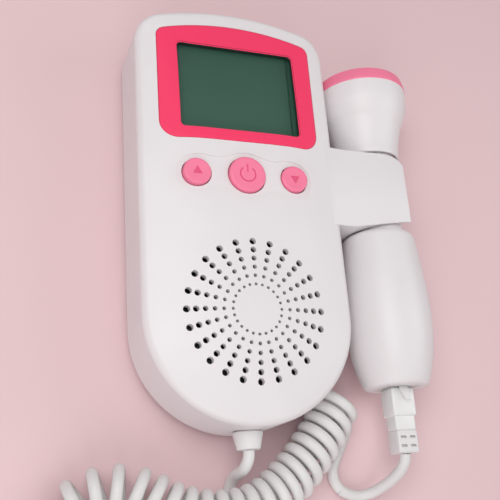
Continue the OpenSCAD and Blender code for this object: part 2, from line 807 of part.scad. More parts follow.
module probe_board() color([0.12, 0.42, 0.25]) {
    w = neck_r - probe_wall - 0.3;
    start = handle_end + socket_l + probe_board_ends[0];
    end = ring_low - cup_back - probe_board_ends[1];
    at_probe() {
        translate([-w, -probe_board_t / 2, start]) cube([2 * w, probe_board_t, end - start]);
        translate([-probe_chip[0] / 2, probe_board_t / 2 - eps, start + probe_chip_at])
            cube(probe_chip);
    }
}

module plug_socket() color([0.85, 0.85, 0.84]) {
    at_probe() difference() {
        translate([0, 0, handle_end + 0.1]) block([socket_w, socket_h, socket_l]);
        translate([0, 0, handle_end - 1])
            block([nose_w + 2 * nose_gap, nose_h + 2 * nose_gap, nose_l + 1.4]);
        translate([-latch_w / 2 - plug_gap, -latch_slot, handle_end - 1])
            cube([latch_w + 2 * plug_gap, latch_slot, nose_l + 1.4]);
    }
}

/* ---------- plug ---------- */

plug_gap = 0.3;
body_l = 9.6;
waist_l = 4.6;
boot_l = 7.8;
plug_face = handle_end - plug_gap;
// Side of the latch, hinged at the nose: along the plug, and out from the nose.
latch = [
    [nose_l - 0.8, -eps], [nose_l - 0.8, 0.7], [1, 1.4], [-latch_tail, 3], [-latch_tail, 2.2],
    [1, 0.6], [nose_l - 3, -eps]
];
boot_start = plug_face - body_l - waist_l;
boot_end = boot_start - boot_l;

module plug_body() color([0.93, 0.93, 0.92]) {
    at_probe() {
        translate([0, 0, plug_face - eps]) block([nose_w, nose_h, nose_l + eps]);
        translate([0, 0, plug_face - body_l]) block([plug_w, plug_h, body_l]);
        translate([0, 0, boot_start]) block([plug_w - 2.2, plug_h - 1.6, waist_l + eps]);
        translate([-latch_w / 2, 0, 0]) rotate([0, 90, 0]) linear_extrude(latch_w)
            polygon([for (q = latch) [-plug_face - q[0], -nose_h / 2 - q[1]]]);
    }
}

pin_pitch = 1.25;
pin_w = 0.4;
pin_t = 0.12;
pin_l = 3.6;

module plug_contacts() color([0.86, 0.7, 0.35]) {
    at_probe() for (i = [-1.5:1:1.5])
        translate([i * pin_pitch - pin_w / 2, nose_h / 2, plug_face + nose_l - pin_l - 0.4])
            cube([pin_w, pin_t, pin_l]);
}

boot_w = plug_w - 1;
boot_h = plug_h - 0.8;
boot_slot = [2.3, 0.9, 1.2]; // width, length along the plug and depth
boot_slot_x = 1.75;
boot_slot_at = 1.9;
boot_slot_pitch = 2.9;

module plug_boot() color([0.93, 0.92, 0.92]) {
    at_probe() difference() {
        translate([0, 0, boot_end]) block([boot_w, boot_h, boot_l]);
        for (k = [0:1], s = [-1, 1], t = [-1, 1])
            translate([s * boot_slot_x, t * boot_h / 2,
                    boot_end + boot_slot_at + boot_slot_pitch * k])
                block([boot_slot[0], 2 * boot_slot[2], boot_slot[1]]);
    }
}

/* ---------- cord ---------- */

function unit3(v) = v / norm(v);

// A point of the smooth curve through four points in a row.
function smooth_at(a, b, c, d, t) =
    0.5 * ((2 * b) + (c - a) * t + (2 * a - 5 * b + 4 * c - d) * t * t
        + (3 * b - a - 3 * c + d) * t * t * t);

function smooth(p, n) = let (m = len(p) - 1) concat(
    [for (i = [0:m - 1], k = [0:n - 1])
        smooth_at(p[max(i - 1, 0)], p[i], p[i + 1], p[min(i + 2, m)], k / n)],
    [p[m]]);

// Tube along points: a ring of sides at each, closed by fans, all of triangles.
// Each ring takes over the direction of the ring before it, so the tube doesn't twist.
module tube(p, r, sides, first = undef, last_dir = undef) {
    n = len(p);
    ways = [for (i = [0:n - 1])
        i == 0 && first != undef ? first : i == n - 1 && last_dir != undef ? last_dir
            : unit3(p[min(i + 1, n - 1)] - p[max(i - 1, 0)])];
    across = [for (
        i = 0, s = unit3(cross(ways[0], [0, 0, 1]));
        i < n;
        i = i + 1, s = i < n ? unit3(s - (s * ways[i]) * ways[i]) : s
    ) s];
    rings = [for (i = [0:n - 1])
        let (up = cross(across[i], ways[i]))
        [for (k = [0:sides - 1]) let (a = 360 * k / sides)
            p[i] + r * (cos(a) * across[i] + sin(a) * up)]];
    points = concat([for (q = rings) each q], [p[0], p[n - 1]]);
    faces = concat(
        [for (i = [0:n - 2], k = [0:sides - 1]) each let (
                a = i * sides + k, b = i * sides + (k + 1) % sides, c = a + sides, d = b + sides)
            [[a, b, c], [b, d, c]]],
        [for (k = [0:sides - 1]) [n * sides, (k + 1) % sides, k]],
        [for (k = [0:sides - 1]) [n * sides + 1, (n - 1) * sides + k,
            (n - 1) * sides + (k + 1) % sides]]);
    polyhedron(points, faces);
}

// Axis of the curls: start, heading in degrees, then runs of [length, turn].
coil_start = [37.5, -25.5];
coil_heading = 240;
coil_runs = [[22, -11], [20, -16], [20, -35], [19, -28], [8, 10], [28, 76], [13.5, 48], [25, 76]];
// Where the curls ride over the lead from the unit: distance along the axis, reach and rise.
hump_at = 57;
hump_reach = 30;
hump_rise = 4.6;

// Curls close up to the same gap on the inside of every bend.
function run_pitch(run) =
    (cord_d + curl_gap) / (1 - coil_r * abs(run[1]) * PI / 180 / run[0]) * 1.006;
function sum(v) = len(v) == 0 ? 0 : v * [for (q = v) 1];
function total(v, n) = sum([for (i = [0:1:n - 1]) v[i]]);
run_curls = [for (q = coil_runs) q[0] / run_pitch(q)];
runs = len(coil_runs);
curls_before = [for (i = [0:runs]) total(run_curls, i)];
length_before = [for (i = [0:runs]) total([for (q = coil_runs) q[0]], i)];
heading_before = [for (i = [0:runs]) coil_heading + total([for (q = coil_runs) q[1]], i)];
curls = round(curls_before[runs]);

// Step along one run: how far forwards and to the left.
function run_step(run, part) =
    let (a = run[1] * PI / 180, r = run[0] / a) [r * sin(run[1] * part), r * (1 - cos(run[1] * part))];
function turned(v, a) = [v[0] * cos(a) - v[1] * sin(a), v[0] * sin(a) + v[1] * cos(a)];
function run_start(i) = i <= 0 ? coil_start
    : run_start(i - 1) + turned(run_step(coil_runs[i - 1], 1), heading_before[i - 1]);
run_starts = [for (i = [0:runs]) run_start(i)];

// [x, y, z, heading] of the axis after a number of curls.
function axis_at(u) =
    let (
        c = min(max(u, 0), curls) * curls_before[runs] / curls,
        i = max([for (k = [0:runs - 1]) curls_before[k] <= c ? k : 0]),
        part = min((c - curls_before[i]) / run_curls[i], 1),
        at = run_starts[i] + turned(run_step(coil_runs[i], part), heading_before[i]),
        s = length_before[i] + coil_runs[i][0] * part,
        near = max(1 - abs(s - hump_at) / hump_reach, 0)
    )
    [at[0], at[1], coil_z + hump_rise * (1 - cos(180 * near)) / 2,
        heading_before[i] + coil_runs[i][1] * part];

// A point of the curls: they start and end at the floor.
function curl_at(u) =
    let (
        q = axis_at(u),
        a = 360 * u - 90,
        side = [sin(q[3]), -cos(q[3]), 0]
    )
    [q[0], q[1], q[2]] + coil_r * (cos(a) * side + sin(a) * [0, 0, 1]);

rings_per_curl = 8;
start_dir = [sin(coil_heading), -cos(coil_heading), 0];
end_dir = [sin(heading_before[runs]), -cos(heading_before[runs]), 0];
coil_first = curl_at(0) - cord_d * start_dir;
coil_last = curl_at(curls) + cord_d * end_dir;
coil_points = concat([coil_first, curl_at(0) - 0.4 * cord_d * start_dir],
    [for (j = [0:curls * rings_per_curl]) curl_at(j / rings_per_curl)],
    [curl_at(curls) + 0.4 * cord_d * end_dir, coil_last]);

// Least gap between two curls, measured on points of the centre line.
fine = 24;
fine_points = [for (j = [0:curls * fine]) curl_at(j / fine)];
least_gap = min([for (j = [0:len(fine_points) - fine - 7], k = [fine - 6:fine + 6])
    norm(fine_points[j + k] - fine_points[j])]) - cord_d;
echo("curls", curls, "least gap between curls", least_gap);

function path_length(p) = sum([for (i = [1:len(p) - 1]) norm(p[i] - p[i - 1])]);
echo("length of cord in the curls", path_length(concat([coil_first], fine_points, [coil_last])));

// Leads, from hand-set points: the first leaves the grommet, the second the plug.
unit_lead_route = [
    [0, -grommet_tip, grommet_z], [0, -43.8, 16.4], [-0.3, -45.7, 15.4], [-0.8, -47.6, 13],
    [-1.5, -48.6, 9.5], [-2.2, -49.7, 5.9], [-2.9, -52.4, 3.3], [-3.4, -56.4, 2.2],
    [-4, -61, lead_z], [-5, -67, lead_z], [-7, -73, lead_z], [-10.3, -78.5, lead_z],
    [-14.2, -83.6, lead_z], [-17.9, -88.6, lead_z], [-21.6, -93.6, lead_z], [-26, -98, lead_z],
    [-31.2, -101, lead_z], [-36.6, -101.6, lead_z], [-40.8, -99.4, lead_z],
    [-42.6, -95.6, lead_z], coil_last
];
plug_exit = [
    probe_x - sin(probe_lean) * (probe_turn_y - boot_end),
    probe_turn_y - cos(probe_lean) * (probe_turn_y - boot_end),
    probe_z
];
probe_lead_route = [
    plug_exit, [55.7, -47.9, 18.1], [55.1, -50.6, 15.8], [53.8, -53.2, 12], [51.8, -55.4, 7.8],
    [49.2, -57.1, 4.3], [46, -57.8, 2.5], [42.5, -57.5, lead_z], [38.6, -55.8, lead_z],
    [36.2, -52.6, lead_z], [35.9, -48.8, lead_z], [37.3, -45.3, lead_z], [39.2, -42, lead_z],
    [41.2, -38.6, lead_z], [42.9, -35.2, lead_z], [43.8, -31.8, lead_z], [43, -29, lead_z],
    coil_first
];

echo("lengths of the leads", path_length(smooth(unit_lead_route, 4)),
    path_length(smooth(probe_lead_route, 4)));

module unit_lead() color([0.87, 0.87, 0.86])
    tube(smooth(unit_lead_route, 2), cord_r, 8, [0, -1, 0], -end_dir);

module curly_cord() color([0.87, 0.87, 0.86])
    tube(coil_points, cord_r, 6, start_dir, end_dir);

module probe_lead() color([0.87, 0.87, 0.86])
    tube(smooth(probe_lead_route, 2), cord_r, 8,
        [-sin(probe_lean), -cos(probe_lean), 0], start_dir);

front_shell();
probe_cradle();
rear_cover();
battery_door();
display_bezel();
display_window();
display_glass();
display_holder();
main_board();
keypad_mat();
up_button();
power_button();
down_button();
speaker_frame();
speaker_cone();
speaker_magnet();
battery_box();
battery_contacts();
batteries();
case_screws();
cord_grommet();
unit_lead();
curly_cord();
probe_lead();
probe_front_shell();
probe_rear_shell();
probe_ring();
probe_lens();
transducer_crystals();
transducer_cup();
probe_board();
plug_socket();
plug_body();
plug_contacts();
plug_boot();
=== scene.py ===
from math import atan, atan2, cos, hypot, pi, radians, sin, sqrt

import bmesh
import bpy
from mathutils import Matrix, Vector
from mathutils.bvhtree import BVHTree
from mathutils.interpolate import poly_3d_calc


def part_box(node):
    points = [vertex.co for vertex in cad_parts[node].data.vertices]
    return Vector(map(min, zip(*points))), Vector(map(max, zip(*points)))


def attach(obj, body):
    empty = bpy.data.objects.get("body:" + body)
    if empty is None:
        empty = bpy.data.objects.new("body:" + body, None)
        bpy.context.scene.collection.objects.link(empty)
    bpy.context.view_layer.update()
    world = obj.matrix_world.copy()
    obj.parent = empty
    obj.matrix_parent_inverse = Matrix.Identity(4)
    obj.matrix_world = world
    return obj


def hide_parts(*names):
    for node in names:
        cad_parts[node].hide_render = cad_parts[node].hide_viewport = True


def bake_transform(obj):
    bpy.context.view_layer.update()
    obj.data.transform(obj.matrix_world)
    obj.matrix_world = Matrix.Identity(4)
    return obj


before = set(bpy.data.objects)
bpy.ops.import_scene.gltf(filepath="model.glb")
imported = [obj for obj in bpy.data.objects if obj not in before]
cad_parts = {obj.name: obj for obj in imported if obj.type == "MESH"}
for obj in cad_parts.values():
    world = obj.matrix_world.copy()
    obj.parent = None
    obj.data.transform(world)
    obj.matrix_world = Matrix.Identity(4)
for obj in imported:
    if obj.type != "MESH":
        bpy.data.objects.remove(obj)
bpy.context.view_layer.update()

# Looks of a handheld doppler monitor that lies on its back, with its probe docked beside it
# and a curly cord between the two. Sizes are in millimetres, as in the part's source, and
# scaled to metres where a mesh is made.

MM = 0.001

# Case
HALF_W = 36.2
BODY_H = 35.0
BODY_TOP = 115.0
TOP_ARC_R = 97.0
TOP_ARC_Y = BODY_TOP - TOP_ARC_R
CORNER_R = 11.5
CROWN_R = 118.0
FALL_R = 1530.0
EDGE_R = 3.0
WALL = 2.2
SEAM_Z = 5.3
FACE_SOFT = 0.8
SPINE_Y = 75.0

# Display
WINDOW_W = 43.6
WINDOW_H = 34.0
WINDOW_Y = 81.5
WINDOW_R = 1.6
BEZEL_SIDE = 7.3
BEZEL_FOOT = 4.5
BEZEL_RIM = 7.0
BEZEL_SUNK = 1.2
BEZEL_PROUD = 0.2
BEZEL_FOOT_R = 6.5
BEZEL_CORNER_R = 3.5
BEZEL_EDGE = 0.35

# Buttons
BUTTONS_Y = 47.0
BUTTON_PITCH = 17.5
POWER_R = 6.5
ARROW_R = 4.8
BUTTON_GAP = 0.3
BUTTON_RIM = 0.75
BUTTON_DISH = 0.22
BUTTON_STEM_R = 2.6
BUTTON_FLANGE = 0.8
SIGN_R = 2.95
SIGN_LINE = 0.5
CONTOUR_DEPTH = 0.28

# Grille
GRILLE_R = 23.0
GRILLE_INNER_R = 8.25
GRILLE_RINGS = 6
GRILLE_SPOKES = 24
HOLE_OUTER_R = 1.08
HOLE_INNER_R = 0.49

# Probe and cradle
PROBE_X = 56.3
PROBE_Z = 18.6
PROBE_LEAN = radians(0.3)
PROBE_TURN_Y = 48.0
NECK_R = 9.8
RING_R = 18.1
RING_L = 5.1
RING_TAPER = 0.8
PROBE_WALL = 2.0
PROBE_TOP = 96.6
HANDLE_END = -23.3
CRADLE_LOW = 32.9
CRADLE_HIGH = 63.4
CRADLE_REACH = 65.3
CRADLE_RISE = 3.1
CRADLE_FALL = 0.7
CRADLE_CORNER = (9.3, 5.7)
JAW_T = 1.8
NECK_GAP = 0.4

# Plug, as lengths along the probe's axis
PLUG_GAP = 0.3
PLUG_L = 9.6
PLUG_NECK_L = 4.6
BOOT_L = 7.8
LATCH_W = 3.2
BOOT_END = HANDLE_END - PLUG_GAP - PLUG_L - PLUG_NECK_L - BOOT_L

# Cord
CORD_D = 3.8
CURL_D = 17.0
CURL_GAP = 0.6
GROMMET_Z = 16.6
GROMMET_TIP = 42.0
GROMMET_HOLE_R = 4.1
FLOOR_LIFT = 0.1

# Camera, fitted to the photographed view, and the studio
CAMERA_PLACE = (-86.95, -64.25, 257.9)
CAMERA_BACK = (-0.3383, -0.3317, 0.8807)
CAMERA_SIDE = (0.9399, -0.0725, 0.3337)
CAMERA_LENS = 55.87
LAMP_TARGET = (20, 35, 20)
FLOOR_COLOUR = (0.80, 0.58, 0.60)
BACKDROP = (0.78, 0.60, 0.62)
FADE_START = 0.28
FADE_END = 0.58


def at(x, y, z):
    """A point given in millimetres, in the frame's metres."""
    return Vector((x, y, z)) * MM


# ---------------------------------------------------------------- mesh helpers

def add_piece(name, bm, smooth=True):
    """Turns a bmesh into an object of that name."""
    mesh = bpy.data.meshes.new(name)
    bm.to_mesh(mesh)
    bm.free()
    mesh.polygons.foreach_set("use_smooth", [smooth] * len(mesh.polygons))
    piece = bpy.data.objects.new(name, mesh)
    bpy.context.scene.collection.objects.link(piece)
    return piece


def close_loop(bm, points):
    """A closed loop of edges through points."""
    verts = [bm.verts.new(p) for p in points]
    edges = [bm.edges.new((v, verts[(i + 1) % len(verts)])) for i, v in enumerate(verts)]
    return verts, edges


def loft(bm, verts, edges, rings):
    """Extrudes a loop of edges through rings of as many points each."""
    for ring in rings:
        made = bmesh.ops.extrude_edge_only(bm, edges=edges)["geom"]
        fresh = {g for g in made if isinstance(g, bmesh.types.BMVert)}
        order = {v: i for i, v in enumerate(verts)}
        after = [None] * len(verts)
        for v in fresh:
            for e in v.link_edges:
                old = e.other_vert(v)
                if old in order:
                    after[order[old]] = v
        for v, p in zip(after, ring):
            v.co = p
        verts = after
        edges = [bm.edges.get((v, verts[(i + 1) % len(verts)])) for i, v in enumerate(verts)]
    return verts, edges


def merged(bm, gap=1e-7):
    """Merges doubles and turns the faces outwards."""
    bmesh.ops.remove_doubles(bm, verts=bm.verts[:], dist=gap)
    bmesh.ops.dissolve_degenerate(bm, dist=gap, edges=bm.edges[:])
    bmesh.ops.recalc_face_normals(bm, faces=bm.faces[:])
    return bm


def closed_loft(rings, cap_last=True):
    """A closed solid through rings of points, in metres."""
    bm = bmesh.new()
    first, edges = close_loop(bm, rings[0])
    last, _ = loft(bm, first, edges, rings[1:])
    bm.faces.new(first[::-1])
    if cap_last:
        bm.faces.new(last)
    return merged(bm)


def lathe(profile, turn=2 * pi, start=0.0, steps=96):
    """Spins a closed outline of [radius, height] about Z, in metres."""
    bm = bmesh.new()
    points = [(r * cos(start) * MM, r * sin(start) * MM, h * MM) for r, h in profile]
    _, edges = close_loop(bm, points)
    full = abs(turn - 2 * pi) < 1e-6
    made = bmesh.ops.spin(bm, geom=edges[:], cent=(0, 0, 0), axis=(0, 0, 1), angle=turn,
                          steps=steps, use_merge=full)
    if not full:
        bmesh.ops.edgeloop_fill(bm, edges=edges)
        last = [g for g in made["geom_last"] if isinstance(g, bmesh.types.BMEdge)]
        bmesh.ops.edgeloop_fill(bm, edges=last)
    return merged(bm)


def applied(piece):
    """Replaces a piece's mesh by what its modifiers make of it."""
    graph = bpy.context.evaluated_depsgraph_get()
    graph.update()
    mesh = bpy.data.meshes.new_from_object(piece.evaluated_get(graph))
    piece.modifiers.clear()
    piece.data = mesh
    return piece


def copied(piece):
    """A copy that keeps the uncut surface, for keep_curve."""
    uncut = piece.copy()
    uncut.data = piece.data.copy()
    return uncut


def cut(piece, *cutters, operation="DIFFERENCE"):
    """Cuts closed solids out of a piece, and removes them."""
    for cutter in cutters:
        modifier = piece.modifiers.new("cut", "BOOLEAN")
        modifier.operation = operation
        modifier.solver = "MANIFOLD"
        modifier.object = cutter
    applied(piece)
    for cutter in cutters:
        bpy.data.objects.remove(cutter)
    return piece


def keep_curve(piece, uncut, sharp=35):
    """Shades a cut piece by the smooth surface that it was cut from, and removes that."""
    source = uncut.data
    normals = [v.normal.copy() for v in source.vertices]
    corners = [[source.vertices[i].co for i in p.vertices] for p in source.polygons]
    tree = BVHTree.FromPolygons([v.co for v in source.vertices],
                                [list(p.vertices) for p in source.polygons])
    mesh = piece.data
    mesh.polygons.foreach_set("use_smooth", [True] * len(mesh.polygons))
    mesh.set_sharp_from_angle(angle=radians(sharp))
    found = [c.vector.copy() for c in mesh.corner_normals]
    for face in mesh.polygons:
        for li in face.loop_indices:
            point = mesh.vertices[mesh.loops[li].vertex_index].co
            _, _, index, away = tree.find_nearest(point)
            if away > 2e-5:
                continue
            weights = poly_3d_calc(corners[index], point)
            normal = Vector((0, 0, 0))
            for w, i in zip(weights, source.polygons[index].vertices):
                normal += w * normals[i]
            normal.normalize()
            if normal.dot(face.normal) > 0.86:
                found[li] = normal
    mesh.normals_split_custom_set(found)
    bpy.data.objects.remove(uncut)


def paint_window_wall_shade(piece):
    """Paints the walls of the window's opening near-black: painted shade for the dark recess round
    the display.
    """
    piece.data.materials.append(WINDOW_WALL_SHADE)
    reach = (WINDOW_W / 2 + 0.6) * MM, (WINDOW_H / 2 + 0.6) * MM
    for face in piece.data.polygons:
        near = (abs(face.center.x) < reach[0] and abs(face.center.y - WINDOW_Y * MM) < reach[1])
        if near and abs(face.normal.z) < 0.35:
            face.material_index = 1


def finish_piece(piece, body, material, slot, *nodes):
    """Gives a piece its material and its body, and hides the CAD nodes that it stands for."""
    piece.data.materials.clear()
    piece.data.materials.append(material)
    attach(piece, body)
    if nodes:
        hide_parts(*nodes)
    return piece


# ---------------------------------------------------------------- outlines

def line_and_arcs(parts):
    """Closed outline from lines and arcs: a list of (point, outward direction)."""
    found = []
    for part in parts:
        if len(part) == 3:
            a, b, n = part
            side = Vector((b[1] - a[1], a[0] - b[0])).normalized()
            found += [(Vector(a).lerp(Vector(b), i / n), side) for i in range(n)]
        else:
            x, y, r, a0, a1, n = part
            for i in range(n):
                a = a0 + (a1 - a0) * i / n
                way = Vector((cos(a), sin(a)))
                found.append((Vector((x, y)) + r * way, way))
    return found


def arched(w, foot_y, foot_r, corner_r, arc_r, foot_n=10, side_n=14, top_n=30):
    """Outline with a straight foot, straight sides and an arched top."""
    cx = w - corner_r
    cy = TOP_ARC_Y + sqrt((arc_r - corner_r) ** 2 - cx ** 2)
    turn = atan2(cy - TOP_ARC_Y, cx)
    low = foot_y + foot_r
    return line_and_arcs([
        (-w + foot_r, low, foot_r, pi, 1.5 * pi, foot_n),
        ((-w + foot_r, foot_y), (w - foot_r, foot_y), side_n),
        (w - foot_r, low, foot_r, 1.5 * pi, 2 * pi, foot_n),
        ((w, low), (w, cy), side_n),
        (cx, cy, corner_r, 0, turn, foot_n),
        (0, TOP_ARC_Y, arc_r, turn, pi - turn, top_n),
        (-cx, cy, corner_r, pi - turn, pi, foot_n),
        ((-w, cy), (-w, low), side_n),
    ])


def case_outline():
    cx = HALF_W - CORNER_R
    cy = TOP_ARC_Y + sqrt((TOP_ARC_R - CORNER_R) ** 2 - cx ** 2)
    turn = atan2(cy - TOP_ARC_Y, cx)
    return line_and_arcs([
        (0, 0, HALF_W, pi, 2 * pi, 96),
        ((HALF_W, 0), (HALF_W, cy), 32),
        (cx, cy, CORNER_R, 0, turn, 14),
        (0, TOP_ARC_Y, TOP_ARC_R, turn, pi - turn, 32),
        (-cx, cy, CORNER_R, pi - turn, pi, 14),
        ((-HALF_W, cy), (-HALF_W, 0), 32),
    ])


def rounded(w, h, r, x=0.0, y=0.0, n=6):
    """Rectangle with round corners."""
    return line_and_arcs([
        (x + w / 2 - r, y + h / 2 - r, r, 0, pi / 2, n),
        ((x + w / 2 - r, y + h / 2), (x - w / 2 + r, y + h / 2), 2 * n),
        (x - w / 2 + r, y + h / 2 - r, r, pi / 2, pi, n),
        ((x - w / 2, y + h / 2 - r), (x - w / 2, y - h / 2 + r), 2 * n),
        (x - w / 2 + r, y - h / 2 + r, r, pi, 1.5 * pi, n),
        ((x - w / 2 + r, y - h / 2), (x + w / 2 - r, y - h / 2), 2 * n),
        (x + w / 2 - r, y - h / 2 + r, r, 1.5 * pi, 2 * pi, n),
        ((x + w / 2, y - h / 2 + r), (x + w / 2, y + h / 2 - r), 2 * n),
    ])


def circle(x, y, r, n=48):
    return line_and_arcs([(x, y, r, 0, 2 * pi, n)])


# ---------------------------------------------------------------- the face

def face_z(x, y):
    """Height of the face: crowned across, falling slowly towards the display end."""
    crown = BODY_H - CROWN_R + sqrt(CROWN_R ** 2 - x * x - min(y, 0) ** 2)
    fall = BODY_H - FALL_R + sqrt(FALL_R ** 2 - max(y, 0) ** 2)
    near = max(FACE_SOFT - abs(crown - fall), 0) / FACE_SOFT
    return min(crown, fall) - near * near * FACE_SOFT / 4


def face_slope(x, y, step=0.05):
    return Vector(((face_z(x + step, y) - face_z(x - step, y)) / (2 * step),
                   (face_z(x, y + step) - face_z(x, y - step)) / (2 * step)))


def meridian(p, way, edge_steps=9, face_steps=16):
    """The case's surface above a point of its outline: [point, normal] from seam to spine."""
    mid = p - EDGE_R * way
    lean = 0.0
    for _ in range(5):
        touch = mid + EDGE_R * sin(lean) * way
        lean = atan(-face_slope(*touch).dot(way))
    arc_z = face_z(*touch) - EDGE_R * cos(lean)
    flat = Vector((way.x, way.y, 0))
    found = [(Vector((p.x, p.y, SEAM_Z + (arc_z - SEAM_Z) * i / 3)), flat) for i in range(3)]
    for i in range(edge_steps + 1):
        a = (pi / 2 - lean) * i / edge_steps
        q = mid + EDGE_R * cos(a) * way
        found.append((Vector((q.x, q.y, arc_z + EDGE_R * sin(a))),
                      flat * cos(a) + Vector((0, 0, sin(a)))))
    spine = Vector((0, min(max(touch.y, 0), SPINE_Y)))
    for i in range(1, face_steps + 1):
        q = touch.lerp(spine, i / face_steps)
        slope = face_slope(*q)
        found.append((Vector((q.x, q.y, face_z(*q))),
                      Vector((-slope.x, -slope.y, 1)).normalized()))
    return found


def case_rings(depth=0.0):
    """Rings of the case's surface, set in by depth, in metres."""
    lines = [meridian(p, way) for p, way in case_outline()]
    return [[(q - depth * normal) * MM for q, normal in ring] for ring in zip(*lines)]


def on_face(outline, rise, grow=0.0):
    """A ring of points over the face, raised or sunk, and grown outwards."""
    found = []
    for p, way in outline:
        q = p + grow * way
        found.append(at(q.x, q.y, face_z(*q) + rise))
    return found


def flat_ring(outline, z, grow=0.0):
    return [at(*(p + grow * way), z) for p, way in outline]


def hole_cutter(name, outline, flare=0.3, low=20.0, high=45.0):
    """Prism for a hole through the face, whose rim is rounded by flare."""
    rings = [flat_ring(outline, low)]
    for i in range(4):
        a = pi / 2 * i / 3
        rings.append(on_face(outline, -flare * (1 - sin(a)), flare * (1 - cos(a))))
    rings.append(flat_ring(outline, high, flare))
    return add_piece(name, closed_loft(rings))


def pocket_cutter(name, outline, depth, centre, steps=14):
    """Solid for a pocket whose floor follows the face at a depth."""
    rings = [flat_ring(outline, 45.0), on_face(outline, -depth)]
    for i in range(1, steps + 1):
        share = i / steps
        rings.append([at(*q, face_z(*q) - depth) for q in
                      (p.lerp(Vector(centre), share) for p, _ in outline)])
    return add_piece(name, closed_loft(rings, cap_last=False))


def contour_outline(margin=2.0, blend=12.2, n=120):
    """The wavy outline round the three buttons: three circles that flow together."""
    rounds = [(-BUTTON_PITCH, ARROW_R + margin), (0, POWER_R + margin),
              (BUTTON_PITCH, ARROW_R + margin)]

    def outside(x, y):
        away = sorted(hypot(x - cx, y) - r for cx, r in rounds)
        near = max(blend - (away[1] - away[0]), 0) / blend
        return away[0] - near * near * blend / 4

    def half_height(x):
        low, high = 0.0, 14.0
        for _ in range(30):
            mid = (low + high) / 2
            low, high = (mid, high) if outside(x, mid) < 0 else (low, mid)
        return low

    end = BUTTON_PITCH + ARROW_R + margin - 0.01
    across = [end * cos(pi * i / n) for i in range(n + 1)]
    upper = [Vector((x, half_height(x))) for x in across]
    points = upper + [Vector((q.x, -q.y)) for q in upper[-2:0:-1]]
    found = []
    for i, q in enumerate(points):
        along = points[(i + 1) % len(points)] - points[i - 1]
        found.append((q + Vector((0, BUTTONS_Y)), Vector((along.y, -along.x)).normalized()))
    return found


# ---------------------------------------------------------------- materials

def shader(name, colour, rough=0.4, **sockets):
    """A Principled material with its constant values set on the shader itself."""
    material = bpy.data.materials.new(name)
    material.use_nodes = True
    bsdf = material.node_tree.nodes["Principled BSDF"]
    bsdf.inputs["Base Color"].default_value = (*colour, 1)
    bsdf.inputs["Roughness"].default_value = rough
    for socket, value in sockets.items():
        bsdf.inputs[socket.replace("_", " ")].default_value = value
    return material, material.node_tree, bsdf


def noise(tree, scale, detail=2.0, rough=0.5):
    """Noise on Object coordinates; scale is in bumps per millimetre."""
    place = tree.nodes.new("ShaderNodeTexCoord")
    made = tree.nodes.new("ShaderNodeTexNoise")
    made.inputs["Scale"].default_value = scale / MM
    made.inputs["Detail"].default_value = detail
    made.inputs["Roughness"].default_value = rough
    tree.links.new(place.outputs["Object"], made.inputs["Vector"])
    return made


def ramp(tree, source, low, high, start=0.3, end=0.7):
    """Maps a value onto two colours."""
    made = tree.nodes.new("ShaderNodeValToRGB")
    made.color_ramp.elements[0].position = start
    made.color_ramp.elements[0].color = (*low, 1)
    made.color_ramp.elements[1].position = end
    made.color_ramp.elements[1].color = (*high, 1)
    tree.links.new(source, made.inputs["Fac"])
    return made.outputs["Color"]


def span(tree, source, low, high):
    """Maps 0..1 onto a span of values."""
    made = tree.nodes.new("ShaderNodeMapRange")
    made.inputs["To Min"].default_value = low
    made.inputs["To Max"].default_value = high
    tree.links.new(source, made.inputs["Value"])
    return made.outputs["Result"]


def bump(tree, bsdf, source, height):
    """Bump of a height in millimetres."""
    made = tree.nodes.new("ShaderNodeBump")
    made.inputs["Strength"].default_value = 1.0
    made.inputs["Distance"].default_value = height * MM
    tree.links.new(source, made.inputs["Height"])
    tree.links.new(made.outputs["Normal"], bsdf.inputs["Normal"])


MOTTLE = 0.97


def moulded(name, colour, rough=0.4, grain=2.2, depth=0.012, **sockets):
    """Moulded plastic: spark-eroded grain, faint mottling and uneven gloss."""
    material, tree, bsdf = shader(name, colour, rough, **sockets)
    fine = noise(tree, grain, detail=3.0, rough=0.6)
    broad = noise(tree, 0.05, detail=2.0)
    darker = tuple(c * MOTTLE for c in colour)
    tree.links.new(ramp(tree, broad.outputs["Fac"], darker, colour), bsdf.inputs["Base Color"])
    tree.links.new(span(tree, broad.outputs["Fac"], rough - 0.05, rough + 0.05),
                   bsdf.inputs["Roughness"])
    bump(tree, bsdf, fine.outputs["Fac"], depth)
    return material


def metal(name, colour, rough=0.3):
    material, tree, bsdf = shader(name, colour, rough, Metallic=1.0)
    streaks = noise(tree, 1.5, detail=4.0)
    tree.links.new(span(tree, streaks.outputs["Fac"], rough - 0.1, rough + 0.12),
                   bsdf.inputs["Roughness"])
    return material


WHITE = moulded("case_plastic", (0.80, 0.765, 0.775), rough=0.42)
COVER = moulded("cover_plastic", (0.77, 0.74, 0.75), rough=0.5, grain=1.6, depth=0.02)
BEZEL_PINK = moulded("bezel_plastic", (0.95, 0.047, 0.142), rough=0.52, grain=3.0, depth=0.004,
                     Specular_IOR_Level=0.3)
BUTTON_PINK = moulded("button_plastic", (0.95, 0.22, 0.36), rough=0.45, depth=0.006)
SIGN_PINK = moulded("button_sign", (0.80, 0.10, 0.22), rough=0.5, depth=0.006)
RING_PINK = moulded("ring_plastic", (0.95, 0.22, 0.36), rough=0.42, depth=0.006)
CORD_WHITE = moulded("cord_sheath", (0.76, 0.75, 0.74), rough=0.46, grain=1.2, depth=0.02)
RUBBER_WHITE = moulded("grommet_rubber", (0.78, 0.76, 0.76), rough=0.5, depth=0.01)
PLUG_WHITE = moulded("plug_plastic", (0.82, 0.82, 0.81), rough=0.2, depth=0.002)
# near-black painted shade for the walls of the window's opening
WINDOW_WALL_SHADE = moulded("window_wall_painted_shade", (0.012, 0.03, 0.024), rough=0.5)
DARK = moulded("dark_plastic", (0.02, 0.022, 0.022), rough=0.5)
GREY = moulded("grey_plastic", (0.62, 0.62, 0.60), rough=0.45)
